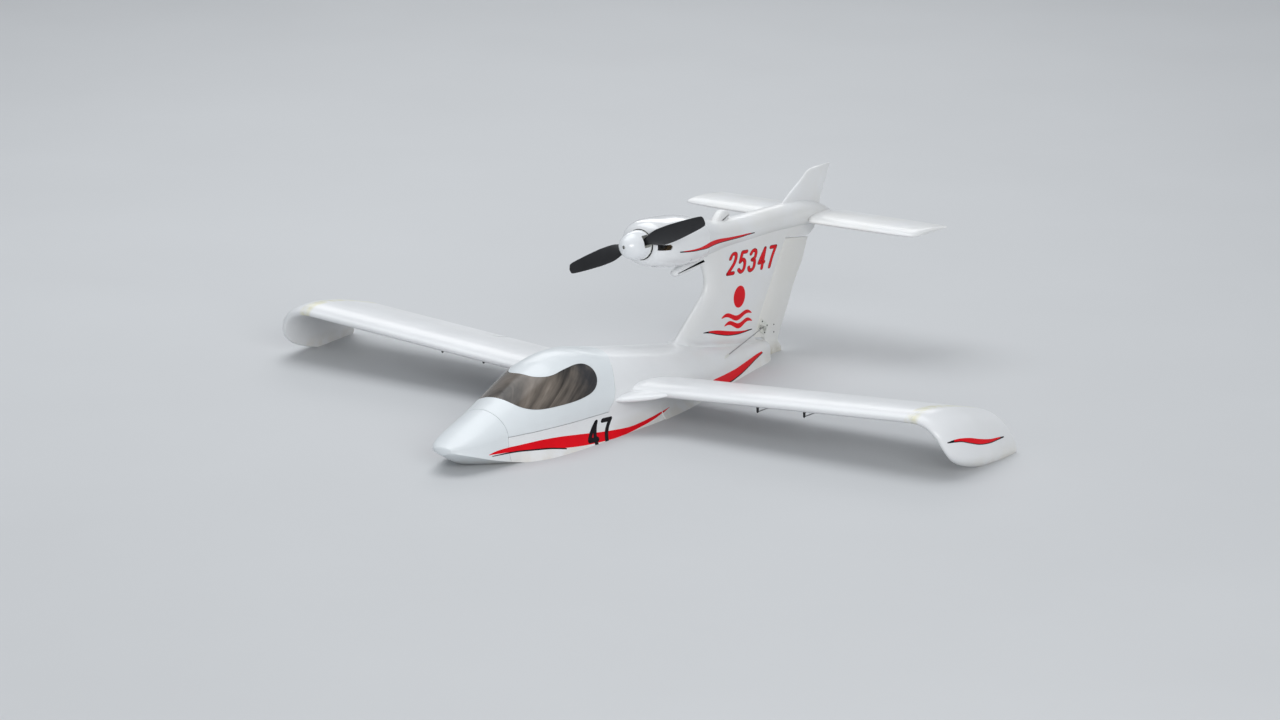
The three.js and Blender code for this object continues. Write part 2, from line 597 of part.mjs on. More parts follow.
// Upper fin on the pod's tail.
const topFin = (() => {
  const ring = (z, le, te, half) => [
    [0, le, z], [half * 0.6, le + (te - le) * 0.05, z], [half, le + (te - le) * 0.25, z],
    [half * 0.75, le + (te - le) * 0.6, z], [0.8, te, z], [-0.8, te, z],
    [-half * 0.75, le + (te - le) * 0.6, z], [-half, le + (te - le) * 0.25, z],
    [-half * 0.6, le + (te - le) * 0.05, z]];
  return loft([
    ring(240, 574, 732, 5.5), ring(276.5, 616, 746, 5), ring(311, 680, 766, 3.8),
    ring(319, 693, 770, 3.4), ring(322, 704.5, 770.7, 2.4)]).subtract(podClearance);
})();

// Stabiliser halves and elevators. Columns: x, leading edge y, trailing edge y, thickness factor.
const STAB = [
  [6, 682, 788, 0.84], [20, 671, 788, 0.84], [33, 656, 788, 0.82], [120, 657, 787, 0.82],
  [236, 664, 786, 0.74], [244, 669, 784, 0.6], [248, 680, 777, 0.34],
];
const stabForm = loft(STAB.map(([x, le, te, thick]) => sectionRing(
  new THREE.Vector3(x, le, STAB_Z), new THREE.Vector3(x, te, STAB_Z - 2.5),
  new THREE.Vector3(0, 0, 1), thick)));
const ELEVATOR = { from: 24, to: 237 };
const ELEVATOR_RISE = 5.2;       // hinge line above the stabiliser's chord line
const elevatorRegion = (from, to, run, ahead = 0) => loft([from, to].map(
  (x) => behindHinge(x, ELEVATOR_HINGE_Y - ahead, STAB_Z - 1.9 + ELEVATOR_RISE, run)));
const elevator = stabForm.intersect(elevatorRegion(ELEVATOR.from, ELEVATOR.to, BEVEL.elevator));
const stabiliser = stabForm.subtract(podClearance)
  .subtract(elevatorRegion(ELEVATOR.from - END_GAP, ELEVATOR.to + END_GAP, 0, SURFACE_GAP))
  .subtract(block([0, ELEVATOR_HINGE_Y - 1, 200], [ELEVATOR.from, 820, 280]));
const JOINER_RADIUS = 1.5;
const JOINER_Y = ELEVATOR_HINGE_Y + 8;
const JOINER_Z = STAB_Z - 0.4;
const joiner = rod([-ELEVATOR.from + GAP, JOINER_Y, JOINER_Z],
  [ELEVATOR.from - GAP, JOINER_Y, JOINER_Z], JOINER_RADIUS, 12);
const joinerHole = rod([-60, JOINER_Y - 1, JOINER_Z],
  [60, JOINER_Y - 1, JOINER_Z], JOINER_RADIUS + 5, 20);

// Battery on its tray, and the shelf behind them, inside the bay.
const TRAY = { low: [-26, -222, BAY_FLOOR_Z + GAP], high: [26, -124, BAY_FLOOR_Z + GAP + 3] };
const tray = block(TRAY.low, TRAY.high);
const battery = block([-21, -220, TRAY.high[2] + GAP], [21, -126, TRAY.high[2] + GAP + 26]);
const shelf = block([-28, -116, BAY_FLOOR_Z + GAP], [28, -84, BAY_FLOOR_Z + GAP + 3]);

// Servo blocks, horns and pushrods under the wing. Columns: name, x, surface chord.
const LINKAGES = [['flap', 288, FLAP.chord], ['aileron', 380, AILERON.chord]];

function linkage(x, chord) {
  const [, y, z] = hingePoint(x, chord);
  const skin = z - 4.6;
  const servo = block([x - 10, y - 82, skin - 3], [x + 10, y - 54, skin + 12])
    .add(block([x - 2, y - 76, skin - 16], [x + 2, y - 70, skin]))
    .subtract(panelClearance);
  const horn = slab([
    [y + 8, skin + 2], [y + 30, skin + 2], [y + 30, skin - 1.5], [y + 14, skin - 6],
    [y + 7, skin - 17], [y + 1, skin - 17], [y + 1, skin - 12]], x - 3.1, 1.9)
    .subtract(panelClearance);
  const push = rod([x, y - 70 + GAP, skin - 14], [x, y + 6, skin - 14.5], ROD_RADIUS, 10);
  return { servo, horn, push };
}

// The aircraft

piece('hull', hull.subtract(rodHole), 'foam');
piece('nose_cone', noseCone, 'foam');
piece('canopy_hatch', hatch, 'foam');
piece('cabin_glazing', glazing, 'smoke');
piece('battery_tray', tray, 'ply');
piece('battery', battery, 'battery');
piece('receiver_shelf', shelf, 'ply');
for (const [side, turn] of [['port', (body) => body], ['starboard', mirrored]]) {
  piece('wing_' + side, turn(wing), 'foam');
  piece('tip_float_' + side, turn(tipFloat), 'foam');
  piece('flap_' + side, turn(flap), 'foam');
  piece('aileron_' + side, turn(aileron), 'foam');
  piece('stabiliser_' + side, turn(stabiliser), 'foam');
  piece('elevator_' + side, turn(elevator), 'foam');
}
for (const [name, x, chord] of LINKAGES) {
  const { servo, horn, push } = linkage(x, chord);
  for (const [side, turn] of [['port', (body) => body], ['starboard', mirrored]]) {
    piece(name + '_servo_' + side, turn(servo), 'black');
    piece(name + '_horn_' + side, turn(horn), 'nylon');
    piece(name + '_pushrod_' + side, turn(push), 'steel');
  }
}
piece('elevator_joiner', joiner, 'steel');
piece('cowl', cowl, 'gloss');
piece('pod', podBody.subtract(joinerHole), 'foam');
piece('motor', motor, 'motor');
piece('motor_mount', mountPlate, 'ply');
piece('propeller_blades', propeller, 'black');
piece('spinner', spinner, 'gloss');
piece('spinner_backplate', backplate, 'nylon');
piece('fin', fin, 'foam');
piece('rudder', rudder, 'foam');
piece('rudder_horn', rudderHorn, 'nylon');
piece('rudder_pushrod', rudderRod, 'steel');
piece('top_stub', topStub, 'foam');
piece('lower_scoop', lowerScoop, 'foam');
piece('top_fin', topFin, 'foam');

export default aircraft;
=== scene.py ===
"""Looks of a foam radio-controlled flying boat afloat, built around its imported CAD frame."""
import math

import bmesh
import bpy
import numpy as np
from mathutils import Matrix, Vector
from mathutils.bvhtree import BVHTree


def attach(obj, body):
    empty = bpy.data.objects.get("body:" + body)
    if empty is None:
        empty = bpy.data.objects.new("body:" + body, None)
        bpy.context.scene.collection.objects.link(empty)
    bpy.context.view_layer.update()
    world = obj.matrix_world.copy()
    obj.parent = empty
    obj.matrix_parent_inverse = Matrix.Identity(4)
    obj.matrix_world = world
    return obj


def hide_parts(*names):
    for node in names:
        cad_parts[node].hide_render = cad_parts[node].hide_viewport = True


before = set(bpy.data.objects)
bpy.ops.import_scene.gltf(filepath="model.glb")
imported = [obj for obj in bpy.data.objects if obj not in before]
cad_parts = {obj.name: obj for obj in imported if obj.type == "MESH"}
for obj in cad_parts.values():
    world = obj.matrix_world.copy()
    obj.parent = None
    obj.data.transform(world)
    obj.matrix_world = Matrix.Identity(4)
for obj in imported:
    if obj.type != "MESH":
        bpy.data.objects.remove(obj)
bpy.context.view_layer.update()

# Driving dimensions, in millimetres: +X to port, nose towards -Y, +Z up, still water at zero
MM = 0.001
GAP = 0.3
HULL_WALL = 7
NOSE_SEAM_Y = -311
SEAM_SILL_Z = 46.4
GLAZING = 1.5
BULKHEAD = 9
BAY_FLOOR_Z = -12
WING_END_X = 633
DIHEDRAL = 0.0561
SWEEP = 0.0333
WING_LE_Z = 58.6
WING_TE = (203, 0.031, 38.3)
PROP_RADIUS = 150
PROP_PITCH = 148
PROP_PHASE = 0.4276
HUB = (0, 143.7, 282.8)
SHAFT_TILT = math.radians(4.8)
STAB_Z = 234.5
ELEVATOR_HINGE_Y = 747
RUDDER_HINGE = (512.5, 50, 0.657)  # y and z of its foot, aft run per rise
FLAP = (136, 320, 48)  # from, to, chord
AILERON = (323, 558, 48)
SURFACE_GAP = 0.5
END_GAP = 1.5
FAR = 900


# Numbers to shapes

def pchip(x, table, at):
    """Columns of a table at the given places, smooth and without overshoot."""
    x, y, at = (np.asarray(v, float) for v in (x, table, at))
    h = np.diff(x)[:, None]
    slope = np.diff(y, axis=0) / h
    m = np.zeros_like(y)
    left, right = slope[:-1], slope[1:]
    w1, w2 = 2 * h[1:] + h[:-1], h[1:] + 2 * h[:-1]
    same = left * right > 0
    left, right = (np.where(same, side, 1) for side in (left, right))
    m[1:-1] = np.where(same, (w1 + w2) / (w1 / left + w2 / right), 0)
    m[0], m[-1] = slope[0], slope[-1]
    i = np.clip(np.searchsorted(x, at, side="right") - 1, 0, len(x) - 2)
    t = ((at - x[i]) / (x[i + 1] - x[i]))[:, None]
    hi = h[i]
    return ((1 + 2 * t) * (1 - t) ** 2 * y[i] + t * (1 - t) ** 2 * hi * m[i]
            + t * t * (3 - 2 * t) * y[i + 1] + t * t * (t - 1) * hi * m[i + 1])


def read(table, at):
    """A table's columns at the given places in its first one."""
    table = np.array(table, float)
    return pchip(table[:, 0], table[:, 1:], at)


def catmull(points, per, loop=True):
    """A smooth curve through points, with per steps from each to the next."""
    p = np.asarray(points, float)
    p = np.vstack([p[-1:], p, p[:2]] if loop else [p[:1], p, p[-1:]])
    t = np.arange(per)[:, None] / per
    runs = [0.5 * (2 * b + (c - a) * t + (2 * a - 5 * b + 4 * c - d) * t ** 2
                   + (3 * b - a - 3 * c + d) * t ** 3) for a, b, c, d in zip(p, p[1:], p[2:], p[3:])]
    return np.vstack(runs if loop else [*runs, p[-1:]])


def distances(points):
    """How far along a line of points each one is."""
    return np.concatenate([[0], np.cumsum(np.linalg.norm(np.diff(points, axis=0), axis=1))])


def link_object(name, mesh):
    obj = bpy.data.objects.new(name, mesh)
    bpy.context.scene.collection.objects.link(obj)
    return obj


def make(name, verts, faces):
    """A mesh object from points in millimetres, its normals outwards."""
    mesh = bpy.data.meshes.new(name)
    mesh.from_pydata([tuple(float(c) * MM for c in v) for v in verts], [], [tuple(f) for f in faces])
    bm = bmesh.new()
    bm.from_mesh(mesh)
    bmesh.ops.remove_doubles(bm, verts=bm.verts, dist=1e-6)
    bmesh.ops.recalc_face_normals(bm, faces=bm.faces)
    bm.to_mesh(mesh)
    bm.free()
    return link_object(name, mesh)


def loft(name, rings):
    """A closed skin over rings of equal count."""
    rings = np.asarray(rings, float)
    n, k, _ = rings.shape
    faces = [(r * k + i, r * k + (i + 1) % k, (r + 1) * k + (i + 1) % k, (r + 1) * k + i)
             for r in range(n - 1) for i in range(k)]
    faces += [tuple(range(k)), tuple(range((n - 1) * k, n * k))]
    return make(name, rings.reshape(-1, 3).tolist(), faces)


def prism(outline, x0=-FAR, x1=FAR, name="prism"):
    """An outline in y, z carried from x0 to x1."""
    return loft(name, [[(x, y, z) for y, z in outline] for x in (x0, x1)])


def rectangle(low, high):
    (y0, z0), (y1, z1) = low, high
    return [(y0, z0), (y1, z0), (y1, z1), (y0, z1)]


def slice_y(y0, y1):
    return prism(rectangle((y0, -FAR), (y1, FAR)))


def mirror_ring(port, first=(), last=()):
    """A ring from its port half, between points on the centre plane."""
    return [*first, *port, *last, *((-x, y, z) for x, y, z in port[::-1])]


def rod(start, end, radius, sides, name="rod", rings=((0, 1), (1, 1))):
    """A turned bar; rings are shares along it and radius factors."""
    start, end = Vector(start), Vector(end)
    along = end - start
    turn = Vector((0, 0, 1)).rotation_difference(along.normalized()).to_matrix()
    angles = [2 * math.pi * i / sides for i in range(sides)]
    rows = []
    for share, factor in rings:
        wide, far = radius * factor, share * along.length
        rows.append([start + turn @ Vector((wide * math.cos(a), wide * math.sin(a), far)) for a in angles])
    return loft(name, rows)


def bake(obj):
    """Applies the object's modifiers."""
    graph = bpy.context.evaluated_depsgraph_get()
    mesh = bpy.data.meshes.new_from_object(obj.evaluated_get(graph))
    obj.modifiers.clear()
    old = obj.data
    obj.data = mesh
    bpy.data.meshes.remove(old)
    return obj


def drop(*objs):
    for obj in objs:
        mesh = obj.data
        bpy.data.objects.remove(obj)
        if mesh.users == 0:
            bpy.data.meshes.remove(mesh)


def cut(obj, *cutters, op="DIFFERENCE", keep=False):
    """Takes the cutters out of a body, and drops them unless they are kept."""
    for cutter in cutters:
        mod = obj.modifiers.new("cut", "BOOLEAN")
        mod.operation = op
        mod.solver = "EXACT"
        mod.object = cutter
        bake(obj)
    if not keep:
        drop(*cutters)
    return obj


def inside(obj, *cutters):
    return cut(obj, *cutters, op="INTERSECT")


def copy(obj, name):
    return link_object(name, obj.data.copy())


def mirrored(obj, name):
    """The same piece on the starboard side."""
    new = copy(obj, name)
    new.data.transform(Matrix.Diagonal((-1, 1, 1, 1)))
    new.data.flip_normals()
    return new


def join(name, *objs):
    bm = bmesh.new()
    for obj in objs:
        bm.from_mesh(obj.data)
    mesh = bpy.data.meshes.new(name)
    bm.to_mesh(mesh)
    bm.free()
    drop(*objs)
    return link_object(name, mesh)


def bevel(obj, width, angle=40):
    mod = obj.modifiers.new("bevel", "BEVEL")
    mod.width = width * MM
    mod.segments = 3
    mod.limit_method = "ANGLE"
    mod.angle_limit = math.radians(angle)
    return bake(obj)


# Materials

GRAIN_SCALE = 420
GLOSS_SPREAD = 0.08
BEAD_SCALE = 330


def put(mat, socket, value):
    """Feeds an input from another node, or sets it."""
    if isinstance(value, bpy.types.NodeSocket):
        mat.node_tree.links.new(value, socket)
    else:
        socket.default_value = value


def add(mat, kind, inputs, output, **settings):
    """A new shader node with its inputs fed or set; returns one of its outputs."""
    node = mat.node_tree.nodes.new("ShaderNode" + kind)
    for key, value in settings.items():
        setattr(node, key, value)
    for key, value in inputs.items():
        put(mat, node.inputs[key], value)
    return node.outputs[output]


def tones(mat, source, stops):
    """A ramp of colours over places from 0 to 1."""
    colour = add(mat, "ValToRGB", {"Fac": source}, "Color")
    elements = colour.node.color_ramp.elements
    while len(elements) < len(stops):
        elements.new(0.5)
    for element, (spot, tone) in zip(elements, stops):
        element.position = spot
        element.color = (*tone, 1)
    return colour


def material(name, base, rough=0.4, spots=0.05, scale=18, bump=0.06, cells=0, metal=0, coat=0, **extra):
    """A painted or moulded surface: mottled colour, uneven gloss and a fine grain."""
    mat = bpy.data.materials.new(name)
    mat.use_nodes = True
    spot = add(mat, "TexCoord", {}, "Object")
    cloud = add(mat, "TexNoise", {"Vector": spot, "Scale": scale, "Detail": 5}, "Fac")
    grain = add(mat, "TexNoise", {"Vector": spot, "Scale": GRAIN_SCALE, "Detail": 3}, "Fac")
    normal = add(mat, "Bump", {"Height": grain, "Strength": bump, "Distance": 0.001}, "Normal")
    if cells:
        beads = add(mat, "TexVoronoi", {"Vector": spot, "Scale": BEAD_SCALE}, "Distance",
                    feature="DISTANCE_TO_EDGE")
        joints = add(mat, "MapRange", {"Value": beads, "From Max": 0.09}, "Result")
        normal = add(mat, "Bump", {"Height": joints, "Normal": normal, "Strength": cells, "Distance": 0.0004},
                     "Normal")
    values = {
        "Base Color": tones(mat, cloud, [(0.3, [c * (1 - spots) for c in base]),
                                         (0.7, [c * (1 + spots / 2) for c in base])]),
        "Roughness": add(mat, "MapRange", {"Value": cloud, "To Min": max(0.02, rough - GLOSS_SPREAD),
                                           "To Max": rough + GLOSS_SPREAD}, "Result"),
        "Normal": normal, "Metallic": metal, "Coat Weight": coat, "Coat Roughness": 0.12, **extra}
    for key, value in values.items():
        put(mat, mat.node_tree.nodes["Principled BSDF"].inputs[key.replace("_", " ")], value)
    return mat


def tint_in_patches(mat, colour, axis, full, none, strength, grain=35, centre=None):
    """Tints a surface in uneven patches, wholly where a coordinate is full and not at all at none.

    With a centre, the coordinate is the distance from it, on both sides of the craft.
    """
    spot = add(mat, "TexCoord", {}, "Object")
    value = add(mat, "SeparateXYZ", {"Vector": spot}, axis)

    def maths(operation, *values):
        return add(mat, "Math", dict(enumerate(values)), "Value", operation=operation)

    if centre is not None:
        value = maths("ABSOLUTE", maths("SUBTRACT", maths("ABSOLUTE", value), centre))
    fade = add(mat, "MapRange", {"Value": value, "From Min": none, "From Max": full}, "Result")
    cloud = add(mat, "TexNoise", {"Vector": spot, "Scale": grain, "Detail": 4}, "Fac")
    patches = add(mat, "MapRange", {"Value": cloud, "From Min": 0.32, "From Max": 0.62}, "Result")
    socket = mat.node_tree.nodes["Principled BSDF"].inputs["Base Color"]
    put(mat, socket, add(mat, "Mix", {
        "Factor": maths("MULTIPLY", maths("MULTIPLY", fade, patches), strength),
        "A": socket.links[0].from_socket, "B": (*colour, 1)}, "Result", data_type="RGBA"))
    return mat


def foam(name, base):
    """Moulded bead foam, tinted darker and yellower near the water, and a little yellowed towards the tail.
    """
    mat = material(name, base, rough=0.34, spots=0.04, scale=9, coat=0.3, cells=0.16)
    tint_in_patches(mat, (0.62, 0.57, 0.46), "Z", 0.0, 0.028, 0.45)
    return tint_in_patches(mat, (0.72, 0.70, 0.64), "Y", 0.5, 0.05, 0.35, 12)


FOAM = foam("white_foam", (0.80, 0.81, 0.82))
HATCH_FOAM = foam("hatch_foam", (0.74, 0.78, 0.80))
WING_FOAM = tint_in_patches(foam("wing_foam", (0.80, 0.81, 0.82)), (0.66, 0.63, 0.36), "X", 0.005, 0.014, 0.7, 60,
                  WING_END_X * MM)
RUDDER_FOAM = tint_in_patches(foam("rudder_foam", (0.78, 0.78, 0.76)), (0.42, 0.38, 0.27), "Z", 0.002, 0.024, 0.6, 60)
SHELL = material("gloss_shell", (0.84, 0.85, 0.86), rough=0.2, spots=0.03, scale=14, coat=0.7, bump=0.02)
SPINNER = material("spinner_white", (0.82, 0.84, 0.86), rough=0.24, spots=0.03, scale=30, coat=0.5, bump=0.02)
BLADE_BLACK = material("blade_black", (0.012, 0.012, 0.014), rough=0.34, spots=0.25, scale=40, bump=0.03)
NYLON = material("white_nylon", (0.72, 0.73, 0.68), rough=0.42, spots=0.08, scale=60, bump=0.05)
STEEL = material("steel_wire", (0.46, 0.46, 0.47), rough=0.3, metal=1.0, spots=0.2, scale=120)
BLACK = material("black_plastic", (0.02, 0.02, 0.022), rough=0.45, spots=0.3, scale=90)
PLY = material("plywood", (0.5, 0.33, 0.17), rough=0.6, spots=0.35, scale=60, bump=0.2)
WRAP = material("battery_wrap", (0.03, 0.09, 0.26), rough=0.3, spots=0.2, scale=50, coat=0.4)
METAL = material("motor_metal", (0.33, 0.34, 0.36), rough=0.32, metal=0.9, spots=0.25, scale=70)
FILM_GLOSS = {"Specular_IOR_Level": 0.12}
RED = material("red_film", (0.74, 0.002, 0.01), rough=0.42, spots=0.08, scale=30, bump=0.02, **FILM_GLOSS)
DEEP_RED = material("deep_red_film", (0.3, 0.003, 0.008), rough=0.42, spots=0.1, scale=30, bump=0.02,
                    **FILM_GLOSS)
DARK = material("black_film", (0.012, 0.010, 0.012), rough=0.42, spots=0.2, scale=30, bump=0.02, **FILM_GLOSS)
WEBBING = material("strap_weave", (0.03, 0.03, 0.034), rough=0.8, spots=0.4, scale=260, bump=0.5)


def smoked():
    """Smoked plastic, brown grey, with painted reflections: slanted lighter and darker streaks, and darker
    towards the rear.
    """
    mat = material("smoked_plastic", (0.1, 0.085, 0.075), rough=0.2, coat=0.15, bump=0.02,
                   Specular_IOR_Level=0.22, Alpha=0.95, IOR=1.5)
    spot = add(mat, "TexCoord", {}, "Object")
    turned = add(mat, "Mapping", {"Vector": spot, "Rotation": (math.radians(-30), 0, 0)}, "Vector")
    reflection_layers = {}
    # Slanted streaks, darker and lighter: painted reflections on the pane.
    for layer, across, lengthways, detail, stops in (
            ("A", 75, 7, 5, ((0.34, 0.035), (0.46, 0.1), (0.58, 0.17), (0.7, 0.28))),
            ("B", 210, 4, 2, ((0.60, 0.0), (0.66, 0.0), (0.72, 0.35), (0.82, 0.5)))):
        drawn = add(mat, "Mapping", {"Vector": turned, "Scale": (10, lengthways, across)}, "Vector")
        reflection_streak = add(mat, "TexNoise", {"Vector": drawn, "Scale": 1, "Detail": detail}, "Fac")
        reflection_layers[layer] = tones(mat, reflection_streak, [(place, (v, v * 0.85, v * 0.72)) for place, v in stops])
    put(mat, mat.node_tree.nodes["Principled BSDF"].inputs["Base Color"],
        add(mat, "Mix", {"Factor": 0.2, **reflection_layers}, "Result", data_type="RGBA", blend_type="ADD"))
    # Painted dark reflection over the rear part of the pane.
    return tint_in_patches(mat, (0.028, 0.03, 0.036), "Y", -0.115, -0.175, 0.85, 22)


SMOKE = smoked()


def finish(obj, mat, *nodes, body="airframe", slot="foam", angle=35):
    """Gives a piece its edges, material and body, and hides the nodes that it stands for; the slot is not
    used.
    """
    obj.data.shade_smooth()
    obj.data.set_sharp_from_angle(angle=math.radians(angle))
    obj.data.materials.clear()
    obj.data.materials.append(mat)
    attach(obj, body)
    if nodes:
        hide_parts(*nodes)


# Hull. Columns: y, keel z, chine x, chine z, side x, side z, crown z, fullness.
HULL_TIP = (0, -427, 39.5)
HULL = np.array([
    (-423, 31, 17, 37.8, 18.5, 42.3, 47, 2.1),
    (-412, 25, 29.5, 34.7, 27.5, 42.5, 50.8, 2.1),
    (-398, 17, 38.5, 30.4, 34.5, 43, 56.2, 2.05),
    (-377, 8, 44.8, 23.8, 41, 43.6, 64, 1.97),
    (-358, 2, 50.4, 17.9, 45.5, 44.4, 70.5, 1.9),
    (-336, -4, 55.4, 11.7, 49.8, 45.3, 78, 1.85),
    (-311, -9, 60.4, 5.5, 53.8, 46.4, 86.2, 1.84),
    (-291, -12.5, 65, 1.1, 59, 46.1, 92.4, 1.85),
    (-277, -15.5, 75, -0.8, 62, 45.8, 97, 1.86),
    (-262, -18, 84.5, -2.6, 65.8, 45.4, 102.3, 1.88),
    (-240, -21, 95.5, -4.8, 69.8, 45, 110.5, 1.93),
    (-205, -25, 105.5, -7.2, 75, 44.3, 124, 2.03),
    (-154, -28, 112, -9.3, 80.8, 43.5, 139.2, 2.12),
    (-105, -30, 114.5, -10.3, 83.8, 42.6, 144, 2.17),
    (-70, -31, 115.5, -10.8, 86, 42, 142.6, 2.22),
    (-8, -32, 114, -11.6, 90, 40, 131.5, 2.22),
    (53, -33, 115, -12.2, 90.5, 38, 120, 2.2),
    (84, -33, 114, -12.5, 89.5, 37, 114, 2.2),
    (85, -25, 110.5, -5, 89.5, 37, 113.8, 2.2),
    (155, -22, 104, -4, 85, 34, 100.5, 2.2),
    (226, -19, 90.5, -2.5, 75, 31, 88.6, 2.2),
    (297, -16, 76.5, -1, 65, 28, 77.4, 2.15),
    (379, -13, 58.5, -1, 50, 24, 64, 2.15),
    (461, -10.5, 43.5, -1, 38, 19, 48.5, 2.4),
    (541, -8, 27.5, -1, 25.3, 13.5, 34.8, 3.4),
    (543.5, -6.5, 25.5, 0, 23.5, 13, 33.2, 3.4),
])
STEP_Y = 84.5  # between the two rows at the planing step
LOWER = 4  # table columns that jump at the step


def hull_rows(at):
    """The table's columns at the given stations; the bottom jumps at the planing step."""
    at = np.asarray(at, float)
    whole = np.delete(HULL, HULL[:, 0].searchsorted(STEP_Y), axis=0)
    fore, aft = (HULL[side, :LOWER] for side in (HULL[:, 0] < STEP_Y, HULL[:, 0] > STEP_Y))
    lower = np.where((at < STEP_Y)[:, None], read(fore, np.minimum(at, fore[-1, 0])),
                     read(aft, np.maximum(at, aft[0, 0])))
    return np.hstack([lower, pchip(whole[:, 0], whole[:, LOWER:], at)])


SIDE_STEPS = 7
UPPER_STEPS = 26


def hull_ring(y, row, grow=0.0):
    """A section's ring: keel, port half, crown, starboard half."""
    keel, chine_x, chine_z, side_x, side_z, crown, full = row
    keel, top = keel - grow, crown + grow
    cx, cz, sx = chine_x + grow, chine_z - grow / 3, side_x + grow
    port = [(cx * s, y, keel + (cz - keel) * s - 4 * s * (1 - s)) for s in (0.25, 0.5, 0.75)]
    bend_z = side_z - 0.55 * (side_z - cz)
    for t in np.arange(SIDE_STEPS) / SIDE_STEPS:
        port.append(((1 - t) ** 2 * cx + (2 * t * (1 - t) + t * t) * sx, y,
                     (1 - t) ** 2 * cz + 2 * t * (1 - t) * bend_z + t * t * side_z))
    for a in np.arange(UPPER_STEPS) / UPPER_STEPS * math.pi / 2:
        port.append((sx * math.cos(a) ** (2 / full), y, side_z + (top - side_z) * math.sin(a) ** (2 / full)))
    return np.array(mirror_ring(port, [(0, y, keel)], [(0, y, top)]))


def hull_form(grow=0.0):
    stations = np.concatenate([
        np.linspace(-423, -405, 7), np.linspace(-401, -240, 42), np.linspace(-235, 84, 66),
        np.linspace(85, 541, 80), [541.9, 542.6, 543.1, 543.5]])
    rings = [hull_ring(y, row, grow) for y, row in zip(stations, hull_rows(stations))]
    tip = np.array([0, HULL_TIP[1] - grow, HULL_TIP[2]])
    first = rings[0]
    nose = []
    for s in (0.06, 0.3, 0.6, 0.85):
        ring = tip + (first - tip) * math.sin(s * math.pi / 2)
        ring[:, 1] = tip[1] + (first[0, 1] - tip[1]) * (1 - math.cos(s * math.pi / 2))
        nose.append(ring)
    return loft("hull_form", nose + rings)


HATCH_REAR = [
    (-63, 42), (-58, 50), (-48, 60), (-42, 74), (-37, 90), (-28, 105), (-17, 116), (-2, 123), (12, 130),
]
ABOVE_HULL = 160
WINDOW = [
    (-276, 104), (-272.5, 98.6), (-271, 96.7), (-267.7, 91.8), (-261.8, 86.7), (-252, 82.7), (-238, 79.6),
    (-220.7, 78), (-196.8, 77.5), (-171, 77.5), (-144, 78.1), (-120.6, 80.1), (-102, 83.6), (-88.8, 90),
    (-80.2, 98.9), (-76.3, 108.3), (-77.1, 117.6), (-83.4, 124.1), (-93.3, 127.6), (-108.6, 128.8),
    (-125.4, 127.8), (-146.4, 125.6), (-165, 122.7), (-178.3, 121.4), (-188.7, 121.4), (-197.5, 122.4),
    (-202, 125), (-204, 132),
]


def grown(outline, by):
    """An outline pushed out along its own normals."""
    p = np.asarray(outline, float)
    d = np.roll(p, -1, axis=0) - np.roll(p, 1, axis=0)
    n = np.column_stack([d[:, 1], -d[:, 0]]) / np.linalg.norm(d, axis=1)[:, None]
    return p + n * by


def hatch_side(grow):
    rear = catmull(HATCH_REAR, 4, loop=False)
    outline = [(NOSE_SEAM_Y - grow, SEAM_SILL_Z - grow)]
    outline += [(y + grow, z - (grow if i == 0 else 0)) for i, (y, z) in enumerate(rear)]
    outline += [(HATCH_REAR[-1][0] + grow, ABOVE_HULL), (NOSE_SEAM_Y - grow, ABOVE_HULL)]
    return prism(outline)


def window_side(grow):
    curve = catmull(WINDOW, 5, loop=False)
    outline = np.vstack([curve, [(-204, 150), (-290, 150)]])
    return prism(grown(outline, grow))


SEAM = 0.5  # half of what shows of a seam between foam pieces


def build_hull():
    outer = hull_form()
    bay_shape = [(-FAR, BAY_FLOOR_Z), (HATCH_REAR[0][0] - BULKHEAD, BAY_FLOOR_Z)]
    bay_shape += [(y - BULKHEAD, z) for y, z in HATCH_REAR]
    bay_shape += [(HATCH_REAR[-1][0] - BULKHEAD, ABOVE_HULL), (-FAR, ABOVE_HULL)]
    bay = inside(hull_form(-HULL_WALL), prism(bay_shape), slice_y(NOSE_SEAM_Y + BULKHEAD, FAR))
    nose = inside(copy(outer, "nose_shell"), slice_y(-FAR, NOSE_SEAM_Y - SEAM))
    lid = inside(copy(outer, "hatch_shell"), hatch_side(-SEAM))
    pane = inside(copy(lid, "window_shell"), window_side(-0.1))
    cut(pane, hull_form(-GLAZING))
    cut(lid, bay, keep=True)
    cut(lid, window_side(GAP))
    shell = cut(outer, slice_y(-FAR, NOSE_SEAM_Y + SEAM), hatch_side(SEAM), bay)
    shell.name = "hull_shell"
    finish(shell, FOAM, "hull")
    finish(nose, HATCH_FOAM, "nose_cone")
    finish(lid, HATCH_FOAM, "canopy_hatch", body="hatch")
    finish(pane, SMOKE, "cabin_glazing", body="hatch", slot="smoked_glazing")


def pair(obj, label, mat, node, body="airframe", slot="foam"):
    """Finishes a port piece and its starboard twin; a body that starts with _ gets its side in front."""
    other = mirrored(obj, label + "_starboard")
    obj.name = label + "_port"
    for side, piece in (("port", obj), ("starboard", other)):
        finish(piece, mat, node + "_" + side, body=side + body if body[0] == "_" else body, slot=slot)


# Wings. Columns: share of chord, upper and lower surface in shares of chord.
AIRFOIL = [
    (0, 0, 0), (0.004, 0.013, -0.011), (0.018, 0.028, -0.021), (0.05, 0.046, -0.028), (0.11, 0.064, -0.032),
    (0.2, 0.077, -0.033), (0.32, 0.082, -0.030), (0.48, 0.076, -0.024), (0.66, 0.057, -0.017),
    (0.84, 0.030, -0.010), (1.0, 0.005, -0.005),
]
FOIL_THICK = 0.115  # greatest thickness
FOIL_S = (1 - np.cos(np.linspace(0, math.pi, 31))) / 2
FOIL_T = read([(math.sqrt(s), *surfaces) for s, *surfaces in AIRFOIL], np.sqrt(FOIL_S))


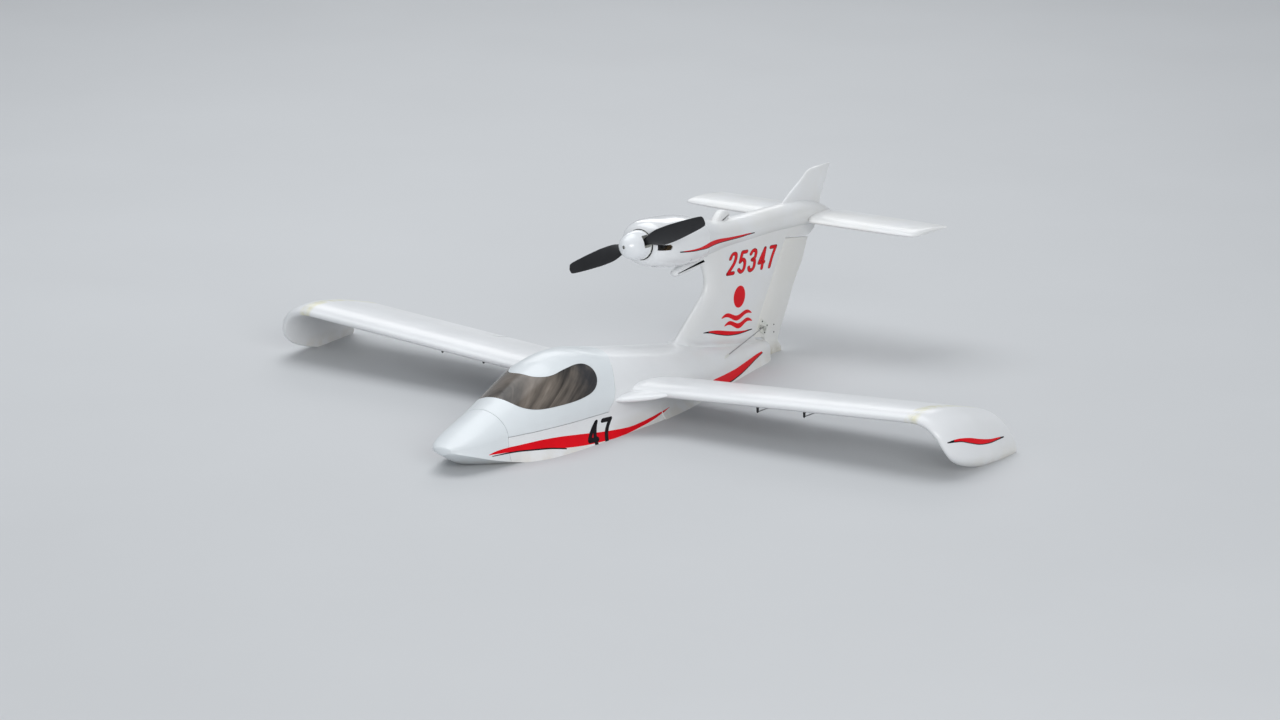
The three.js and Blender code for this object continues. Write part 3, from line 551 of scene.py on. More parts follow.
def section(le, te, up, thick=1.0):
    """A wing section's ring, from the nose over the top and back along the bottom."""
    le, te, up = (np.asarray(v, float) for v in (le, te, up))
    chord = te - le
    size = np.linalg.norm(chord) * thick
    upper = [le + chord * s + up * (t * size) for s, t in zip(FOIL_S, FOIL_T[:, 0])]
    lower = [le + chord * s + up * (t * size) for s, t in zip(FOIL_S[1:], FOIL_T[1:, 1])]
    return np.array(upper + lower[::-1])


def wing_le(x):
    return np.array([x, SWEEP * x, WING_LE_Z + DIHEDRAL * x])


def wing_te(x):
    return np.array([x, WING_TE[0] + WING_TE[1] * x, WING_TE[2] + DIHEDRAL * x])


WING_UP = np.array([-DIHEDRAL, 0, 1]) / math.hypot(1, DIHEDRAL)
# Root strake ahead of the wing. Columns: x, leading edge y and z, thickness.
STRAKE_REAR_Y = 110
STRAKE = [
    (80, -47, 57, 12), (97, -41, 58, 14), (115, -31, 60, 15), (133, -18, 62, 14), (150, -5, 65, 11),
    (164, 9, 68, 7),
]
HINGE_RISE = 8.5
DROP = 18  # height over which a surface's front slants
BEVEL = {"flap": 17, "aileron": 8.5, "elevator": 9.5}
UP, DOWN, AFT = 30, 50, 120  # reach of a cutting region from the hinge


def hinge_point(x, chord):
    te = wing_te(x)
    return te[1] - chord, te[2] + chord * (WING_LE_Z - WING_TE[2]) / WING_TE[0]


def behind_hinge(x, y, z, run):
    return [(x, y, z + UP), (x, y, z), (x, y + run, z - DROP), (x, y + run, z - DOWN),
            (x, y + AFT, z - DOWN), (x, y + AFT, z + UP)]


def surface_region(surface, run, ahead=0.0, gap=0.0):
    """The space of a flap or aileron, its front slanted by run, with gaps at its ends."""
    start, end, chord = surface
    rings = []
    for x in (start + gap, end - gap):
        y, z = hinge_point(x, chord)
        rings.append(behind_hinge(x, y - ahead, z + HINGE_RISE, run))
    return loft("region", rings)


def wing_form():
    return loft("wing", [section(wing_le(x), wing_te(x), WING_UP) for x in np.linspace(60, WING_END_X, 40)])


def build_wings():
    flap, aileron = (inside(wing_form(), surface_region(place, BEVEL[name], gap=END_GAP))
                     for name, place in (("flap", FLAP), ("aileron", AILERON)))
    rings = []
    xs = np.linspace(80, 164, 22)
    for x, (y, z, thick) in zip(xs, read(STRAKE, xs)):
        le, te = np.array([x, y, z]), np.array([x, STRAKE_REAR_Y, z - 4])
        rings.append(section(le, te, WING_UP, thick / FOIL_THICK / np.linalg.norm(te - le)))
    wing = cut(wing_form(), loft("strake", rings), op="UNION")
    cut(wing, surface_region((FLAP[0], AILERON[0], FLAP[2]), 0, SURFACE_GAP),
        surface_region(AILERON, 0, SURFACE_GAP))
    pair(wing, "wing_skin", WING_FOAM, "wing")
    pair(build_tip(), "tip_skin", WING_FOAM, "tip_float")
    pair(flap, "flap_skin", WING_FOAM, "flap", "_flap")
    pair(aileron, "aileron_skin", WING_FOAM, "aileron", "_aileron")


# Drooped tip with its float. Columns: leading edge x y z, trailing edge x y z, lean, thickness factor.
TIP = [
    (633.3, 21.4, 94.1, 633.3, 222.6, 73.8, 3.2, 1),
    (645, 21.5, 93, 644, 226, 73, 14, 1),
    (660, 22, 88.5, 656, 230, 70.5, 32, 1),
    (673, 23, 80, 669, 235, 64, 48, 0.98),
    (683, 26, 68, 682, 242, 51, 62, 0.93),
    (690, 33, 51, 693, 248, 34, 72, 0.88),
    (694, 46, 34, 699, 253, 17, 80, 0.84),
    (695, 70, 19, 702, 255, 5, 84, 0.8),
    (695, 101, 8, 701, 247, -3, 86, 0.76),
    (694, 134, 0, 698, 225, -6, 88, 0.7),
]


def build_tip():
    table = np.array(TIP)
    run = distances((table[:, :3] + table[:, 3:6]) / 2)
    rings = []
    for row in pchip(run, table, np.linspace(0, run[-1], 64)):
        angle = math.radians(row[6])
        lean = (math.sin(angle), 0, math.cos(angle)) if rings else WING_UP
        rings.append(section(row[:3], row[3:6], lean, row[7]))
    last = rings[-1]
    centre = last.mean(axis=0)
    for shrink, lower in ((0.96, 0.8), (0.8, 1.8), (0.5, 2.4)):
        rings.append(centre + (last - centre) * (shrink, shrink, 1) - (0, 0, lower))
    return loft("tip", rings)


# Pod. Columns: y, centre z, half width, height above and below the centre, fullness.
POD = [
    (154.6, 281.5, 33, 25, 25, 2), (156.7, 281, 38, 31, 30, 2), (162.3, 280, 43, 37, 35, 2.1),
    (175.5, 278.7, 47.5, 42, 39.5, 2.2), (201, 276.3, 50.5, 44.5, 43, 2.25),
    (242, 272.8, 50, 44.5, 46, 2.3), (288, 268, 45.5, 41.5, 45.5, 2.25),
    (316.3, 264.7, 41, 36, 41, 2.2), (344, 262.3, 36.5, 30.5, 35, 2.2), (372, 259.8, 33, 25.5, 31, 2.2),
    (400, 257.4, 29.5, 24.5, 27, 2.2), (482, 253.2, 24.5, 23.3, 24.5, 2.2), (564, 252.1, 22.5, 22, 24, 2.2),
    (646, 250.9, 22, 21, 26, 2.2), (707, 242.9, 18.5, 18.5, 24, 2.2), (750, 233.3, 13, 13, 16, 2.1),
    (771, 227, 8, 8, 9, 2), (779.5, 223.3, 1.5, 1.5, 1.5, 2),
]
POD_NOSE_Y, POD_TAIL_Y = POD[0][0], POD[-1][0]
POD_SIDES = 72
COWL_HOLLOW_Y = 157.5
COWL_REAR_Y = 316
COWL_WALL = 2
SPIGOT_Y = 228  # front of the pod's part inside the cowl


def pod_form(grow=0.0, stations=None, name="pod"):
    if stations is None:
        stations = np.concatenate([np.linspace(POD_NOSE_Y, POD_NOSE_Y + 12, 12),
                                   np.linspace(POD_NOSE_Y + 14, POD_TAIL_Y, 110)])
    turn = np.linspace(0, 2 * math.pi, POD_SIDES, endpoint=False)
    c, s = np.cos(turn), np.sin(turn)
    rings = []
    for y, (centre, width, above, below, full) in zip(stations, read(POD, stations)):
        x = np.maximum(width + grow, 0.3) * np.sign(c) * np.abs(c) ** (2 / full)
        high = np.maximum(np.where(s > 0, above, below) + grow, 0.3)
        z = centre + high * np.sign(s) * np.abs(s) ** (2 / full)
        rings.append(np.column_stack([x, np.full(len(x), y), z]))
    return loft(name, rings)


def shaft_point(along, out=0.0, turn=0.0):
    y = HUB[1] + along * math.cos(SHAFT_TILT) + out * math.sin(turn) * math.sin(SHAFT_TILT)
    z = HUB[2] - along * math.sin(SHAFT_TILT) + out * math.sin(turn) * math.cos(SHAFT_TILT)
    return (out * math.cos(turn), y, z)


SPINNER_RADIUS = 26
SLOT = [(156, 275.8), (156, 285.8), (181.5, 283.3), (185.5, 278.4), (181.5, 273.7)]
INLET = (9, 171.5, 196, 20, 181.5)  # half width, front, rear, wide half width, wide part's rear
INLET_Z = (200, 255)


def build_pod():
    cowl = inside(pod_form(name="cowl_shell"), slice_y(0, COWL_REAR_Y - GAP))
    half, front, rear, wide, wide_rear = INLET
    low, high = INLET_Z
    cut(cowl, inside(pod_form(-COWL_WALL), slice_y(COWL_HOLLOW_Y, FAR)), prism(SLOT),
        prism(rectangle((front, low), (wide_rear, high)), -wide, wide),
        prism(rectangle((front + 5, low), (rear, high)), -half, half),
        rod(shaft_point(-30), shaft_point(20), SPINNER_RADIUS + 1.5, 64))
    finish(cowl, SHELL, "cowl", slot="gloss_shell")
    rear_part = pod_form(0, np.linspace(COWL_REAR_Y + GAP, POD_TAIL_Y, 96), "pod_rear")
    spigot = pod_form(-COWL_WALL - GAP, np.linspace(SPIGOT_Y, COWL_REAR_Y + 1, 14), "pod_front")
    finish(join("pod_skin", rear_part, spigot), FOAM, "pod")


# Propeller. Blade columns: share of radius, chord.
BLADE = [
    (0.06, 13), (0.17, 18), (0.27, 28), (0.37, 32), (0.5, 31.5), (0.65, 28.5), (0.8, 24.5),
    (0.92, 20.5), (0.985, 16), (1, 10),
]
BLADE_TIP = (0.95, 0.85, 0.68, 0.3)  # chord factors of the last sections
BLADE_SIDES = 28
SHAFT = Matrix.Translation(HUB) @ Matrix.Rotation(-SHAFT_TILT, 4, "X")
SPINNER_LENGTH = 40
SPINNER_BACK = 8
SPINNER_WALL = 1.6
SPINNER_SEAM = 6.5  # from the hub back along the shaft
BACKPLATE = (6.8, 9)
PROP_SHAFT = (-36, 35.7)


def on_shaft(point, turn=0.0):
    """A point given from the hub, with Y backwards along the shaft, turned about the shaft."""
    return tuple(SHAFT @ (Matrix.Rotation(turn, 4, (0, -1, 0)) @ Vector(point)))


def blade(turn):
    """One blade: a cambered section, pitched to its radius."""
    shares = np.concatenate([np.linspace(0.06, 0.94, 34), [0.955, 0.97, 0.98, 0.988, 0.994, 0.998, 1]])
    chords = read(BLADE, shares)[:, 0]
    chords[-len(BLADE_TIP):] *= BLADE_TIP
    rings = []
    for share, chord in zip(shares, chords):
        radius = share * PROP_RADIUS
        pitch = math.atan(PROP_PITCH / (2 * math.pi * max(radius, 20)))
        thick = max(1.2, 5.5 * (1 - share))
        ring = []
        for a in 2 * math.pi * np.arange(BLADE_SIDES) / BLADE_SIDES:
            c, s = math.cos(a), math.sin(a)
            run = (0.05 + 0.5 * c) * chord
            rise = ((0.42 if s > 0 else 0.12) * s * (1 - 0.25 * c) + 0.55 * (1 - c * c)) * thick
            ring.append(on_shaft((radius, run * math.sin(pitch) - rise * math.cos(pitch),
                                  -run * math.cos(pitch) - rise * math.sin(pitch)), turn))
        rings.append(ring)
    return loft("blade", rings)


def spinner_form(grow=0.0):
    rings = []
    for a in np.linspace(0.01, math.pi / 2, 26):
        radius = (SPINNER_RADIUS + grow) * math.sin(a)
        depth = (SPINNER_LENGTH + SPINNER_BACK + grow) * math.cos(a) ** 0.85 - SPINNER_BACK
        rings.append([on_shaft((radius * math.cos(t), -depth, radius * math.sin(t)))
                      for t in np.linspace(0, 2 * math.pi, 72, endpoint=False)])
    return loft("spinner_shell", rings)


def blade_slot(turn):
    return bevel(loft("slot", [[on_shaft((x, y, z), turn) for y, z in rectangle((-11, -11), (11, 11))]
                               for x in (8, 88)]), 3)


def build_propeller():
    turns = (PROP_PHASE, PROP_PHASE + math.pi)
    prop = cut(*map(blade, turns), rod(shaft_point(-6), shaft_point(6), 11, 48), op="UNION")
    prop.name = "blades"
    finish(prop, BLADE_BLACK, "propeller_blades", body="propeller", slot="propeller_plastic", angle=50)
    shell = cut(spinner_form(), inside(spinner_form(-SPINNER_WALL), slice_y(0, 200)),
                rod(shaft_point(SPINNER_SEAM), shaft_point(20), SPINNER_RADIUS + 5, 48),
                *map(blade_slot, turns), rod(shaft_point(-45), shaft_point(-34), 3.1, 24))
    finish(shell, SPINNER, "spinner", body="propeller", slot="gloss_shell")
    back = join("spinner_back", rod(*map(shaft_point, BACKPLATE), SPINNER_RADIUS, 72),
                rod(*map(shaft_point, PROP_SHAFT), 2.5, 24))
    finish(back, NYLON, "spinner_backplate", body="propeller", slot="nylon")


# Fin. Columns: z, leading edge y, half thickness.
FIN = [
    (39.5, 215.7, 20), (69, 248.4, 18), (82, 264.8, 16), (98.6, 287.3, 15), (116.3, 308.8, 14),
    (138, 336.4, 13), (155.8, 354.9, 12.5), (172.7, 361, 12), (188.8, 358, 12), (206, 350, 12.5),
    (220, 337.6, 14), (238.5, 323.4, 16),
]
FIN_SECTION = [  # share of chord, width
    (0, 0), (0.004, 0.25), (0.02, 0.5), (0.06, 0.76), (0.15, 0.96), (0.32, 1), (0.6, 0.84), (1, 0.42),
]


def hinge_y(z):
    return RUDDER_HINGE[0] + RUDDER_HINGE[2] * (z - RUDDER_HINGE[1])


def deck_z(y):
    return hull_rows([min(y, HULL[-2, 0])])[0][5]


ROOT_FILLET = 11  # radius of the moulded curve between deck and fin
# Fixed fairing under the pod's tail, over the rudder: side outline in y, z, and its half section in x, y.
FAIRING = [(612, 211.2), (697, 199.2), (707, 202.3), (716, 207.2), (722.5, 211.8), (724, 232), (612, 240)]
FAIRING_HALF = [(1, 604), (4.6, 609), (4.8, 625), (1.6, 726)]


def build_fin():
    zs = np.concatenate([np.linspace(41, 112, 56), np.linspace(114, 238.5, 40)])
    share = np.linspace(0, 1, 36) ** 2
    wide = read([(math.sqrt(s), w) for s, w in FIN_SECTION], np.sqrt(share))[:, 0]
    rings = []
    for z, (le, half) in zip(zs, read(FIN, zs)):
        te = hinge_y(z) - SURFACE_GAP
        side = []
        for s, w in zip(share[1:], wide[1:]):
            y = le + (te - le) * s
            short = min(max(1 - (z - deck_z(y)) / ROOT_FILLET, 0), 1)
            flare = ROOT_FILLET * (1 - math.sqrt(1 - short ** 2)) * min((y - le) / 14, 1)
            side.append((half * w + flare, y, z))
        rings.append(mirror_ring(side, [(0, le, z)]))
    fin = loft("fin_form", rings)
    sides = loft("sides", [mirror_ring([(x, y, z) for x, y in FAIRING_HALF]) for z in (190, 250)])
    fairing = bevel(inside(prism(FAIRING, -10, 10), sides), 0.9, 50)
    finish(join("fin_skin", fin, fairing), FOAM, "fin")


# Rudder: its outline in y, z behind the hinge, and its half section in x and distance aft.
RUDDER = [
    (696, 197), (677.5, 156), (660, 132), (643.5, 104), (626, 71), (610, 45), (604, 33), (600.5, 25),
    (603, 18.5), (611, 10), (613.5, 2), (613.5, -10), (611, -24), (604, -34), (592, -39), (576, -37),
    (563.5, -27), (558.5, -10), (557.5, 8), (557.5, 24), (556.5, 31), (551.5, 36), (543, 38.2),
]
RUDDER_HALF = 5.2
RUDDER_SECTION = [(0.6, 0.2), (2.4, 2.2), (RUDDER_HALF, 9), (RUDDER_HALF * 0.8, 45), (1.6, 200)]


def build_rudder():
    outline = [*((hinge_y(z), z) for z in (45, 130, 208)), *catmull(RUDDER, 5, loop=False)]
    sides = [mirror_ring([(x, hinge_y(z) + aft, z) for x, aft in RUDDER_SECTION]) for z in (-60, 260)]
    rudder = inside(prism(outline, -20, 20, "rudder_skin"), loft("sides", sides))
    finish(bevel(rudder, 1.1, 50), RUDDER_FOAM, "rudder", body="rudder_body")


def slab(outline, half, round_by, name):
    """A slab with its outline in y, z and fully rounded rims."""
    curve = catmull(outline, 4)
    turns = np.linspace(0, math.pi / 2, 8)
    steps = [(half - round_by * (1 - math.cos(a)), round_by * (1 - math.sin(a))) for a in turns]
    sides = steps + [(-x, inset) for x, inset in steps[::-1]]
    return loft(name, [[(x, y, z) for y, z in grown(curve, -inset)] for x, inset in sides])


STUB = [
    (398, 266), (418, 268), (420.5, 275.5), (425.5, 282), (429, 287), (427.3, 291.5), (421, 295.4),
    (412, 297.3), (402.5, 295.5), (394, 290), (386, 282), (376, 272),
]
SCOOP = [
    (344.8, 228.1), (318.2, 224.5), (291.7, 224.9), (269.2, 218.2), (261, 215.3), (258, 210.4),
    (261, 205.3), (269.2, 203.7), (297.8, 205.8), (324.3, 209.4), (346.8, 212), (361, 218),
]
# Upper fin. Columns: z, leading edge y, trailing edge y, half thickness. Section: share of chord, width.
TOP_FIN = [
    (240, 574, 732, 5.5), (276.5, 616, 746, 5), (311, 680, 766, 3.8), (319, 693, 770, 3.4),
    (322, 704.5, 770.7, 2.4),
]
TOP_FIN_SECTION = [
    (0.004, 0.2), (0.015, 0.38), (0.04, 0.56), (0.08, 0.74), (0.15, 0.9), (0.25, 1), (0.38, 0.97),
    (0.5, 0.88), (0.62, 0.74), (0.75, 0.56), (0.88, 0.36), (1, 0.17),
]


def build_fingers():
    """What stands on the pod and hangs below it."""
    finish(slab(STUB, 8.5, 5.5, "stub_skin"), FOAM, "top_stub", angle=60)
    finish(slab(SCOOP, 7.5, 6.5, "scoop_skin"), FOAM, "lower_scoop", angle=60)
    zs = np.concatenate([np.linspace(240, 311, 20), np.linspace(313, 322, 10)])
    rings = [mirror_ring([(half * w, le + (te - le) * s, z) for s, w in TOP_FIN_SECTION], [(0, le, z)])
             for z, (le, te, half) in zip(zs, read(TOP_FIN, zs))]
    finish(loft("top_fin_skin", rings), FOAM, "top_fin", angle=60)


# Stabilisers. Columns: x, leading edge y, trailing edge y, thickness factor.
STAB = [
    (6, 682, 788, 0.84), (20, 671, 788, 0.84), (33, 656, 788, 0.82), (120, 657, 787, 0.82),
    (236, 664, 786, 0.74), (244, 669, 784, 0.6), (248, 680, 777, 0.34),
]
ELEVATOR = (24, 237)  # from, to
ELEVATOR_RISE = 3.3


def stab_form():
    xs = np.concatenate([np.linspace(6, 48, 16), np.linspace(56, 236, 20), np.linspace(238, 248, 9)])
    return loft("stab", [section((x, le, STAB_Z), (x, te, STAB_Z - 2.5), (0, 0, 1), thick)
                         for x, (le, te, thick) in zip(xs, read(STAB, xs))])


def elevator_region(start, end, run, ahead=0.0):
    return loft("region", [behind_hinge(x, ELEVATOR_HINGE_Y - ahead, STAB_Z + ELEVATOR_RISE, run)
                           for x in (start, end)])


def build_tail():
    elevator = inside(stab_form(), elevator_region(*ELEVATOR, BEVEL["elevator"]))
    root = prism(rectangle((ELEVATOR_HINGE_Y - 1, 200), (820, 280)), 0, ELEVATOR[0])
    space = elevator_region(ELEVATOR[0] - END_GAP, ELEVATOR[1] + END_GAP, 0, SURFACE_GAP)
    fixed = cut(stab_form(), space, root)
    pair(fixed, "stabiliser_skin", FOAM, "stabiliser")
    pair(elevator, "elevator_skin", FOAM, "elevator", "elevator_body")


# Fittings
DRILL_REACH = 6


def box(low, high, round_by, name="box"):
    (x0, y0, z0), (x1, y1, z1) = low, high
    return bevel(prism(rectangle((y0, z0), (y1, z1)), x0, x1, name), round_by)


def drill(obj, places, way, radius):
    """Round holes through the places, along one direction."""
    way = Vector(way).normalized() * DRILL_REACH
    cut(obj, *(rod(Vector(spot) - way, Vector(spot) + way, radius, 20) for spot in places))


def screw(spot, way, radius):
    """A domed head with a six-sided socket, sunk a little into what it holds."""
    spot, way = Vector(spot), Vector(way).normalized()
    head = rod(spot - way * radius, spot + way * radius * 0.6, radius, 20, "screw",
               [(0, 1), (0.7, 1), (0.88, 0.88), (1, 0.6)])
    return cut(head, rod(spot + way * radius * 0.1, spot + way * radius, radius * 0.36, 6))


HORN_Z = 66  # where the horn's plate meets the rudder's hinge line
HORN_REACH = 22
HORN_PLATE = [(5, 10), (5, 30), (10, 30), (25, 5), (25, -3), (19, -3)]  # x, distance aft
HORN_HOLES = [(22, 0.5), (19.5, 5.5), (16.8, 10.5)]
HORN_FOOT = ((9, 36), (-6, 16), 2)  # aft, up the hinge line, thickness
HORN_CORNER = 3.5
HORN_SCREWS = [(13, -2), (13, 12), (32, -2), (32, 12)]
ROD_EXIT = Vector((46, 365, 46))
ROD_DEPTH = 24
ROD_RADIUS = 0.9
TUBE_RADIUS = 2.1
ROD_ENDS = [(0, 0.7), (0.01, 1), (0.99, 1), (1, 0.7)]
RUDDER_SCREWS = [(584.5, 54), (585, 40)]  # y, z


def build_rudder_linkage():
    hinge = Matrix.Translation((0, hinge_y(HORN_Z), HORN_Z)) \
        @ Matrix.Rotation(-math.atan(RUDDER_HINGE[2]), 4, "X")

    def at(x, aft, rise):
        return hinge @ Vector((x, aft, rise))

    plate = bevel(loft("plate", [[at(x, aft, rise) for x, aft in HORN_PLATE] for rise in (0, 2)]), 0.5)
    drill(plate, [at(x, aft, 1) for x, aft in HORN_HOLES], at(0, 0, 1) - at(0, 0, 0), 0.8)
    (aft0, aft1), (low, high), thick = HORN_FOOT
    r = HORN_CORNER
    outline = []
    for aft, rise, first in ((aft1 - r, high - r, 0), (aft0 + r, high - r, 90), (aft0 + r, low + r, 180),
                             (aft1 - r, low + r, 270)):
        for a in np.radians(first + 18 * np.arange(6)):
            outline.append((aft + r * math.cos(a), rise + r * math.sin(a)))
    face = RUDDER_HALF + thick
    foot = bevel(loft("foot", [[at(x, aft, rise) for aft, rise in outline] for x in (3.6, face)]), 0.5)
    finish(join("rudder_horn_plate", plate, foot), NYLON, "rudder_horn", body="rudder_body", slot="nylon")
    heads = [screw(at(face, aft, rise), (1, 0, 0), 1.5) for aft, rise in HORN_SCREWS]
    heads += [screw((RUDDER_HALF * 0.72, y, z), (1, 0, 0), 1.3) for y, z in RUDDER_SCREWS]
    finish(join("rudder_screws", *heads), BLACK, body="rudder_body", slot="steel_wire")

    end = at(HORN_REACH, 0, -1.6)
    way = (end - ROD_EXIT).normalized()
    start = ROD_EXIT - way * ROD_DEPTH
    push = rod(start, end, ROD_RADIUS, 20, "rudder_rod", [(0, 0.8), (0.004, 1), (0.996, 1), (1, 0.7)])
    finish(push, STEEL, "rudder_pushrod", slot="steel_wire")
    tube = rod(ROD_EXIT - way * 16, ROD_EXIT + way * 7, TUBE_RADIUS, 24, "rudder_rod_tube",
               [(0, 1), (0.96, 1), (1, 0.86)])
    cut(tube, rod(start - way, end, ROD_RADIUS + 0.15, 20))
    finish(tube, NYLON, slot="nylon")


LINKAGES = (("flap", 288, FLAP[2]), ("aileron", 380, AILERON[2]))  # surface, x, chord
SKIN_DROP = 4.6  # from the hinge's height down to the lower skin
ARM_AHEAD = 73  # from the hinge to the servo's shaft


def build_wing_linkages():
    """Servo, horn and pushrod under each flap and aileron."""
    for name, x, chord in LINKAGES:
        y, z = hinge_point(x, chord)
        skin, pivot = z - SKIN_DROP, y - ARM_AHEAD

        def side_on(outline, x0, x1):
            """A plate from points as distance aft of the hinge and height over the skin."""
            return bevel(prism([(y + aft, skin + rise) for aft, rise in outline], x + x0, x + x1), 0.4)

        case = box((x - 10, y - 78, skin - 3), (x + 10, y - 58, skin + 8), 0.9)
        ears = box((x - 9, y - 82, skin - 2), (x + 9, y - 54, skin + 0.6), 0.5)
        drill(ears, [(x + side * 5, y + aft, skin) for side in (-1, 1) for aft in (-80, -56)], (0, 0, 1), 1)
        boss = rod(*((x + end, pivot, skin - 2.6) for end in (-3.4, 3.4)), 3.6, 28)
        arm = side_on([(-76, -1), (-70, -1), (-71, -14.5), (-73, -16), (-75, -14.5)], -1.2, 1.2)
        drill(arm, [(x, pivot, skin - depth) for depth in (7, 10.2, 13.4)], (1, 0, 0), 0.7)
        horn = side_on([(8, 2), (30, 2), (30, -1.5), (14, -6), (7, -17), (1, -17), (1, -12)], -4.05, -2.15)
        drill(horn, [(x - 3, y + aft, skin - depth) for aft, depth in ((4, 14.5), (6.2, 11), (8.4, 7.5))],
              (1, 0, 0), 0.8)
        push = rod((x, y - 69.7, skin - 14), (x, y + 6, skin - 14.5), ROD_RADIUS, 20, rings=ROD_ENDS)
        pair(join("servo", case, ears, boss, arm), name + "_servo_case", BLACK, name + "_servo",
             slot="servo_plastic")
        pair(horn, name + "_horn_plate", NYLON, name + "_horn", "_" + name, "nylon")
        pair(push, name + "_rod", STEEL, name + "_pushrod", slot="steel_wire")


# Boards in the bay: piece, node, half width, front and rear, places of the strap slots.
BOARDS = (("tray", "battery_tray", 26, -222, -124, (-190, -150)),
          ("shelf", "receiver_shelf", 28, -116, -84, (-100,)))
BOARD_THICK = 3
BATTERY = (21, -220, -126, 26)  # half width, front, rear, height
STRAP = (-200, -181)
MOTOR = (36, 78, 18)  # front and rear from the hub along the shaft, radius
MOTOR_RINGS = [(0, 0.35), (0, 0.6), (0.03, 0.82), (0.1, 1), (0.55, 1), (0.57, 0.95), (0.66, 0.95), (0.68, 1),
               (0.92, 1), (1, 0.9)]
MOUNT_FACE = 78.3  # from the hub along the shaft
COWL_SCREW = (39.5, 255.8, 240.8)


def build_inside():
    """Battery, tray and shelf in the bay, and the motor on its mount."""
    floor = BAY_FLOOR_Z + GAP
    base = floor + BOARD_THICK + GAP
    half, front, rear, tall = BATTERY
    top = base + tall
    pack = box((-half, front, base), (half, rear, top), 4, "battery_pack")
    finish(pack, WRAP, "battery", slot="battery_wrap")
    strap = box((-half - 1, STRAP[0], base - 0.1), (half + 1, STRAP[1], top + 1), 2, "battery_strap")
    cut(strap, box((-half, STRAP[0] - 2, base), (half, STRAP[1] + 2, top), 3))
    finish(strap, WEBBING, slot="battery_wrap")
    wide = half + 0.4
    ends = [box((-wide, y - 3, base), (wide, y + 3, top + 0.3), 2.5) for y in (front + 6, rear - 6)]
    finish(join("battery_ends", *ends), BLACK, slot="battery_wrap")
    for name, node, half, front, rear, slots in BOARDS:
        board = box((-half, front, floor), (half, rear, floor + BOARD_THICK), 0.5, name)
        cut(board, *(box((x - 1.2, y - 9, -20), (x + 1.2, y + 9, 0), 1) for y in slots for x in (-24, 24)))
        finish(board, PLY, node, slot="plywood")
    front, rear, radius = MOTOR
    motor = rod(shaft_point(front), shaft_point(rear), radius, 64, "motor_can", MOTOR_RINGS)
    for turn in np.radians(range(0, 360, 45)):
        cut(motor, rod(*(shaft_point(front + reach, 12.5, turn) for reach in (-6, 8)), 2.6, 16))
    finish(motor, METAL, "motor", slot="motor_metal")
    plate = rod(shaft_point(MOUNT_FACE), shaft_point(MOUNT_FACE + 3), 30, 72, "mount_plate")
    finish(bevel(plate, 0.5), PLY, "motor_mount", slot="plywood")
    ahead = Vector(shaft_point(0)) - Vector(shaft_point(1))
    heads = [screw(shaft_point(MOUNT_FACE, 24, math.radians(45 + 90 * i)), ahead, 2) for i in range(4)]
    heads.append(screw(COWL_SCREW, (0.8, 0.1, -0.6), 1.7))
    finish(join("pod_screws", *heads), STEEL, slot="steel_wire")
    ends = [(x, ELEVATOR_HINGE_Y + 8, STAB_Z - 0.4) for x in (-23.7, 23.7)]
    finish(rod(*ends, 1.5, 24, "joiner", ROD_ENDS), STEEL, "elevator_joiner", body="elevator_body",
           slot="steel_wire")


# Films: thin coloured shapes laid on the skin along X. Edges in y, z; the upper one, then the lower one.
HULL_STRIPE = (
    [(-358, 25.7), (-335, 29), (-287, 29.4), (-244, 29.6), (-197, 26.7), (-148, 21.4), (-97, 14.9),
     (-45, 9.9), (-12, 7.9), (20, 8.6), (62, 11), (112, 14.4)],
    [(-357, 25), (-345, 24.2), (-310, 21.4), (-270, 18.9), (-230, 14.9), (-197, 8.9), (-149, 4), (-97, 1),
     (-54, -0.3), (-10, 1), (40, 4.4), (80, 9), (112, 14)])
HULL_BAND = (
    [(-352, 22.6), (-310, 21.4), (-270, 18.9), (-230, 14.9), (-194, 8.2)],
    [(-350, 21.4), (-310, 19.2), (-270, 16.6), (-230, 12.7), (-195, 6.4)])
TAIL_STRIPE = (
    [(206, 13.6), (245, 18), (289, 21), (342, 18.9), (387, 18), (417, 19.7), (451, 22.4), (478, 24.7),
     (499, 25.6)],
    [(206, 12.8), (240, 9), (290, 5), (354, 4.1), (377, 4.4), (411, 6.6), (449, 12), (477, 17.8),
     (502, 23.2)])
TAIL_BAND = (
    TAIL_STRIPE[1][1:],
    [(241, 7.8), (290, 3.4), (354, 2.3), (377, 2.7), (411, 4.9), (449, 10.2), (477, 15.9), (503, 21.8)])
POD_SWOOSH = (
    [(205, 266.6), (237, 263), (273, 260.6), (296, 261.2), (322, 262.2), (355, 259.8), (395, 254.6),
     (432, 251), (461, 248.8), (485, 246.4)],
    [(207, 264.2), (239, 259.3), (275, 255.2), (303, 252.6), (332, 252.4), (362, 251.2), (397, 248.4),
     (434, 246), (462, 245.4), (486, 244.6)])
TIP_SWOOSH = (
    [(38, 63.4), (51, 64.9), (69, 64.2), (98, 59.3), (128, 51.2), (162, 43.6), (189, 39.8), (217, 35.6)],
    [(38, 61.8), (54, 60.5), (72, 57.8), (93, 51.3), (123, 42.7), (158, 37.5), (186, 35.7), (216, 34)])
FIN_SWOOSH = (
    [(335, 90.3), (356, 89), (382, 85.1), (416, 77), (451, 69.7), (474, 65.9), (489, 64.6), (504, 63)],
    [(335, 89), (356, 84.7), (382, 76.9), (415, 68.5), (452, 63.3), (474, 62.2), (489, 61.8), (504, 61.6)])
LIFT = {"under": 0.1, "over": 0.18, "top": 0.26}  # heights above the skin
FILM_DEPTH = 0.35
SIDES = (("port", 1), ("starboard", -1))


def along(points, count):
    """A smooth curve through points, evenly spaced."""
    curve = catmull(points, 12, loop=False)
    run = distances(curve)
    at = np.linspace(0, run[-1], count)
    return np.column_stack([np.interp(at, run, curve[:, 0]), np.interp(at, run, curve[:, 1])])


